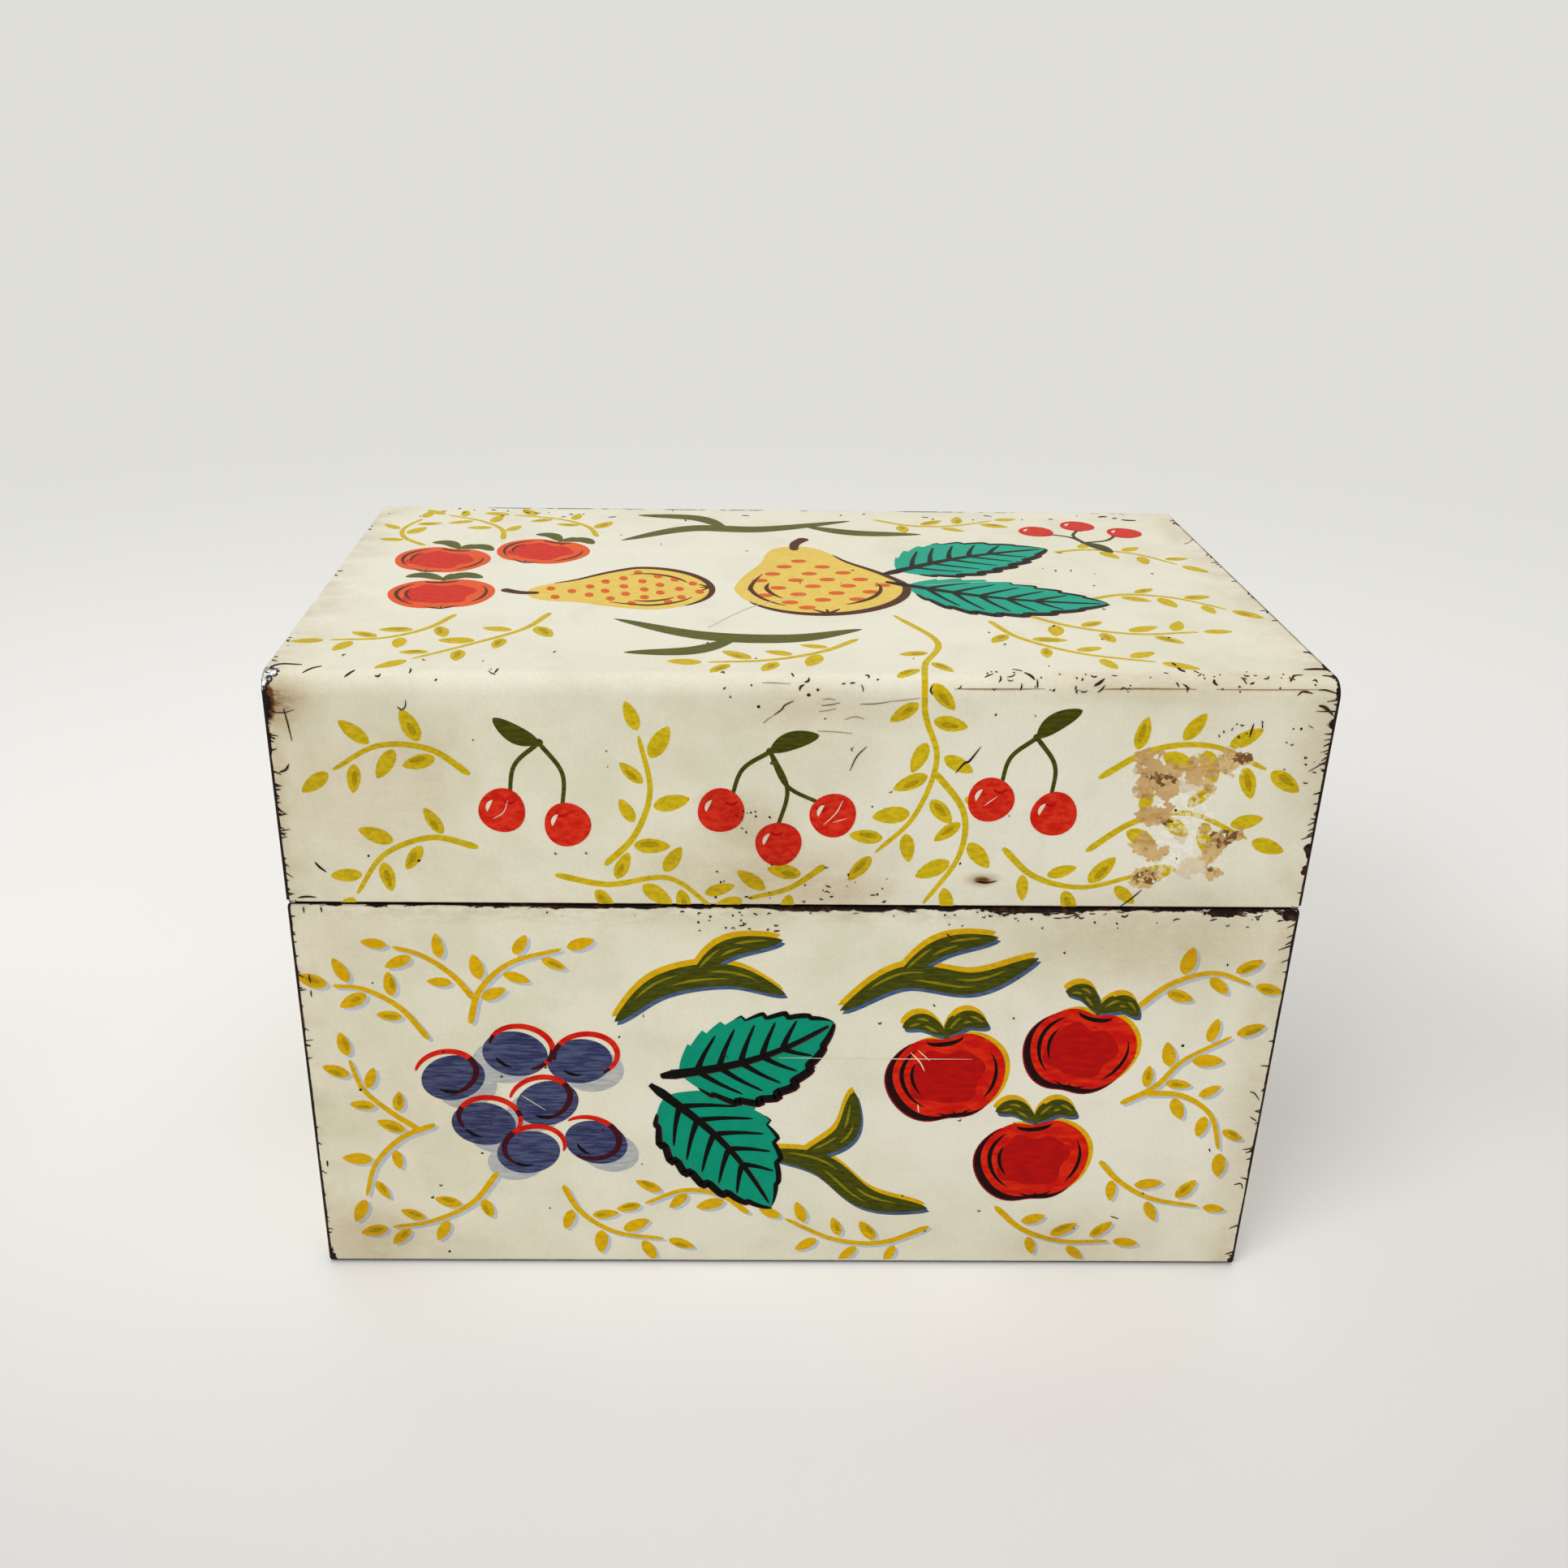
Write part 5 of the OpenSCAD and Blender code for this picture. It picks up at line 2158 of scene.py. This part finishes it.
@dataclass(frozen=True)
class Floor:
    """A wide round table top just under the box, which the camera sees fade into the backdrop."""

    radius: float = 4.0
    edge_points: int = 96
    roughness: float = 0.6
    whites: tuple[Colour, Colour] = (rgb(232, 231, 228), rgb(228, 227, 224))
    # Painted shadow: the floor's colour darkens to the right of the box.
    right_shade: Colour = rgb(216, 215, 211)
    # Painted light, for the camera only: the floor's colour is lighter just in front of the box.
    near_light: Colour = rgb(249, 249, 248)
    # Painted shade, for the camera only: the floor's colour darkens further out in front of the box and
    # beside it.
    outer_shade: Colour = rgb(207, 206, 204)

    def build(self) -> None:
        """Makes the floor."""
        bm = bmesh.new()
        bmesh.ops.create_circle(bm, cap_ends=True, segments=self.edge_points, radius=self.radius)
        mesh = bpy.data.meshes.new("floor")
        bm.to_mesh(mesh)
        bm.free()
        mesh.materials.append(self._finish())
        floor = put_in_scene("floor", mesh)

    def _finish(self) -> bpy.types.Material:
        """Makes the floor's material, in which all distances are in metres. Its colour holds a painted
        shadow right of the box, and for the camera painted light just in front of the box and painted shade
        further out.

        Returns:
            The material.
        """
        material, g, shader = start_finish("white_table")
        place = g.node("ShaderNodeTexCoord").outputs["Object"]
        seen = g.node("ShaderNodeLightPath").outputs["Is Camera Ray"]
        across, ahead, _ = g.axes(place)
        pale = g.blend(g.noise(place, 0.12, 3, 0.5), *self.whites)
        # Painted shadow: darker to the box's right, from its front to a little behind it.
        on_right = g.product(g.fade(across, 0.0, 0.17), g.fade(ahead, 0.08, 0.0))
        pale = g.blend(on_right, pale, self.right_shade)
        # Painted light, for the camera only: lighter just in front of the box.
        near = g.product(seen, g.fade(self._apart(g, across, ahead, 2.2, 0.03), 0.05, 0.008))
        pale = g.blend(near, pale, self.near_light)
        # Painted shade, for the camera only: darker further out in front of the box and beside it.
        outer = g.product(seen, g.fade(self._apart(g, across, ahead, 1.6, 0.0), 0.05, 0.125))
        pale = g.blend(g.product(outer, g.fade(ahead, 0.05, -0.03)), pale, self.outer_shade)
        g.fill(shader, {"Base Color": pale, "Roughness": self.roughness})
        far = g.product(seen, g.fade(g.length(place), 0.14, 0.55))
        haze = g.filled("ShaderNodeEmission", BACKDROP)
        mixed = g.filled("ShaderNodeMixShader", far, shader.outputs[0], haze.outputs[0])
        g.fill(g.tree.nodes["Material Output"], {"Surface": mixed.outputs[0]})
        return material

    @staticmethod
    def _apart(g: Graph, across: Socket, ahead: Socket, wide: float, front: float) -> Socket:
        """The distance from a place in front of the box, with the sideways part divided by wide."""
        return g.diagonal(g.maths("DIVIDE", across, wide), g.maths("ADD", ahead, front))


@dataclass(frozen=True)
class Lamp:
    """A square soft lamp that points at the box. Its place and its side are in metres."""

    name: str
    at: Place
    size: float
    watts: float
    aim: Place = (0.0, 0.0, 0.04)

    def build(self) -> None:
        """Makes the lamp."""
        data = bpy.data.lights.new(self.name, "AREA")
        data.size = self.size
        data.energy = self.watts
        lamp = put_in_scene(self.name, data)
        lamp.location = self.at
        lamp.rotation_euler = (Vector(self.aim) - Vector(self.at)).to_track_quat("-Z", "Y").to_euler()


@dataclass(frozen=True)
class Viewpoint:
    """The camera at the photograph's place, square to nothing, as it was held by hand.

    Its place is in metres, its turns are in degrees and its lens and sensor in millimetres.
    """

    at: Place = (-0.01246, -0.22362, 0.16290)
    tilt_down: float = 24.69
    yaw_right: float = 0.81
    roll: float = 0.74
    lens: float = 35.59
    sensor: float = 36.0
    sideways: float = 0.0385
    nearest: float = 0.01
    farthest: float = 20

    def build(self) -> None:
        """Makes the camera and the scene's view."""
        pitch, yaw, roll = (math.radians(a) for a in (self.tilt_down, self.yaw_right, self.roll))
        ahead = Vector((math.sin(yaw) * math.cos(pitch), math.cos(yaw) * math.cos(pitch), -math.sin(pitch)))
        level = Vector((math.cos(yaw), -math.sin(yaw), 0))
        upright = level.cross(ahead)
        right = math.cos(roll) * level + math.sin(roll) * upright
        up = -math.sin(roll) * level + math.cos(roll) * upright
        data = bpy.data.cameras.new("camera")
        data.sensor_width = self.sensor
        data.lens = self.lens
        data.shift_x = self.sideways
        data.clip_start = self.nearest
        data.clip_end = self.farthest
        camera = put_in_scene("camera", data)
        turn = Matrix((right, up, -ahead)).transposed().to_4x4()
        camera.matrix_world = Matrix.Translation(self.at) @ turn
        bpy.context.scene.camera = camera
        bpy.context.scene.view_settings.view_transform = "Standard"


@dataclass(frozen=True)
class Studio:
    """Pale floor, soft lamps, an even surround and the camera."""

    floor: Floor = Floor()
    lamps: tuple[Lamp, ...] = (
        Lamp("window_light", (-2.0, -1.9, 1.8), 1.8, 55.0),
        Lamp("ceiling_light", (0.0, 0.2, 1.5), 1.4, 9.0),
    )
    viewpoint: Viewpoint = Viewpoint()
    surround: Colour = rgb(250, 250, 248)
    strength: float = 0.58

    def build(self) -> None:
        """Makes the floor, the lamps, the world and the camera."""
        self.floor.build()
        for lamp in self.lamps:
            lamp.build()
        self._world()
        self.viewpoint.build()

    def _world(self) -> None:
        """Makes the surround, which the camera and every gloss see in the backdrop's own colour."""
        world = bpy.data.worlds.new("pale_room")
        world.use_nodes = True
        bpy.context.scene.world = world
        g = Graph(world.node_tree)
        light = g.tree.nodes["Background"]
        rays = g.node("ShaderNodeLightPath").outputs
        shown = g.highest(*(rays[f"Is {kind} Ray"] for kind in ("Camera", "Glossy", "Transmission")))
        g.fill(light, {
            "Color": g.blend(shown, self.surround, BACKDROP),
            "Strength": g.between(shown, self.strength, 1.0),
        })


def dress(node: str, material: bpy.types.Material) -> None:
    """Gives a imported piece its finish.

    Args:
        node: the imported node's name.
        material: its finish.
    """
    piece = frame["nodes"][node]
    piece.data.materials.clear()
    piece.data.materials.append(material)
    log.info("%s is finished in %s", node, material.name)


def main() -> None:
    """Builds the finishes, the prints and the studio."""
    logging.basicConfig(level=logging.INFO, format="%(name)s: %(message)s")
    ageing = Ageing().build()
    cream = CREAM.build(ageing)
    for node in frame["nodes"]:
        dress(node, WireFinish().build() if node == "hinge_pin" else cream)
    finishes = {ink: ink.value.build(ageing) for ink in Ink}
    LidPrint().print_all().pull(finishes)
    BasePrint().print_all().pull(finishes)
    Studio().build()


if __name__ == "__main__":
    main()
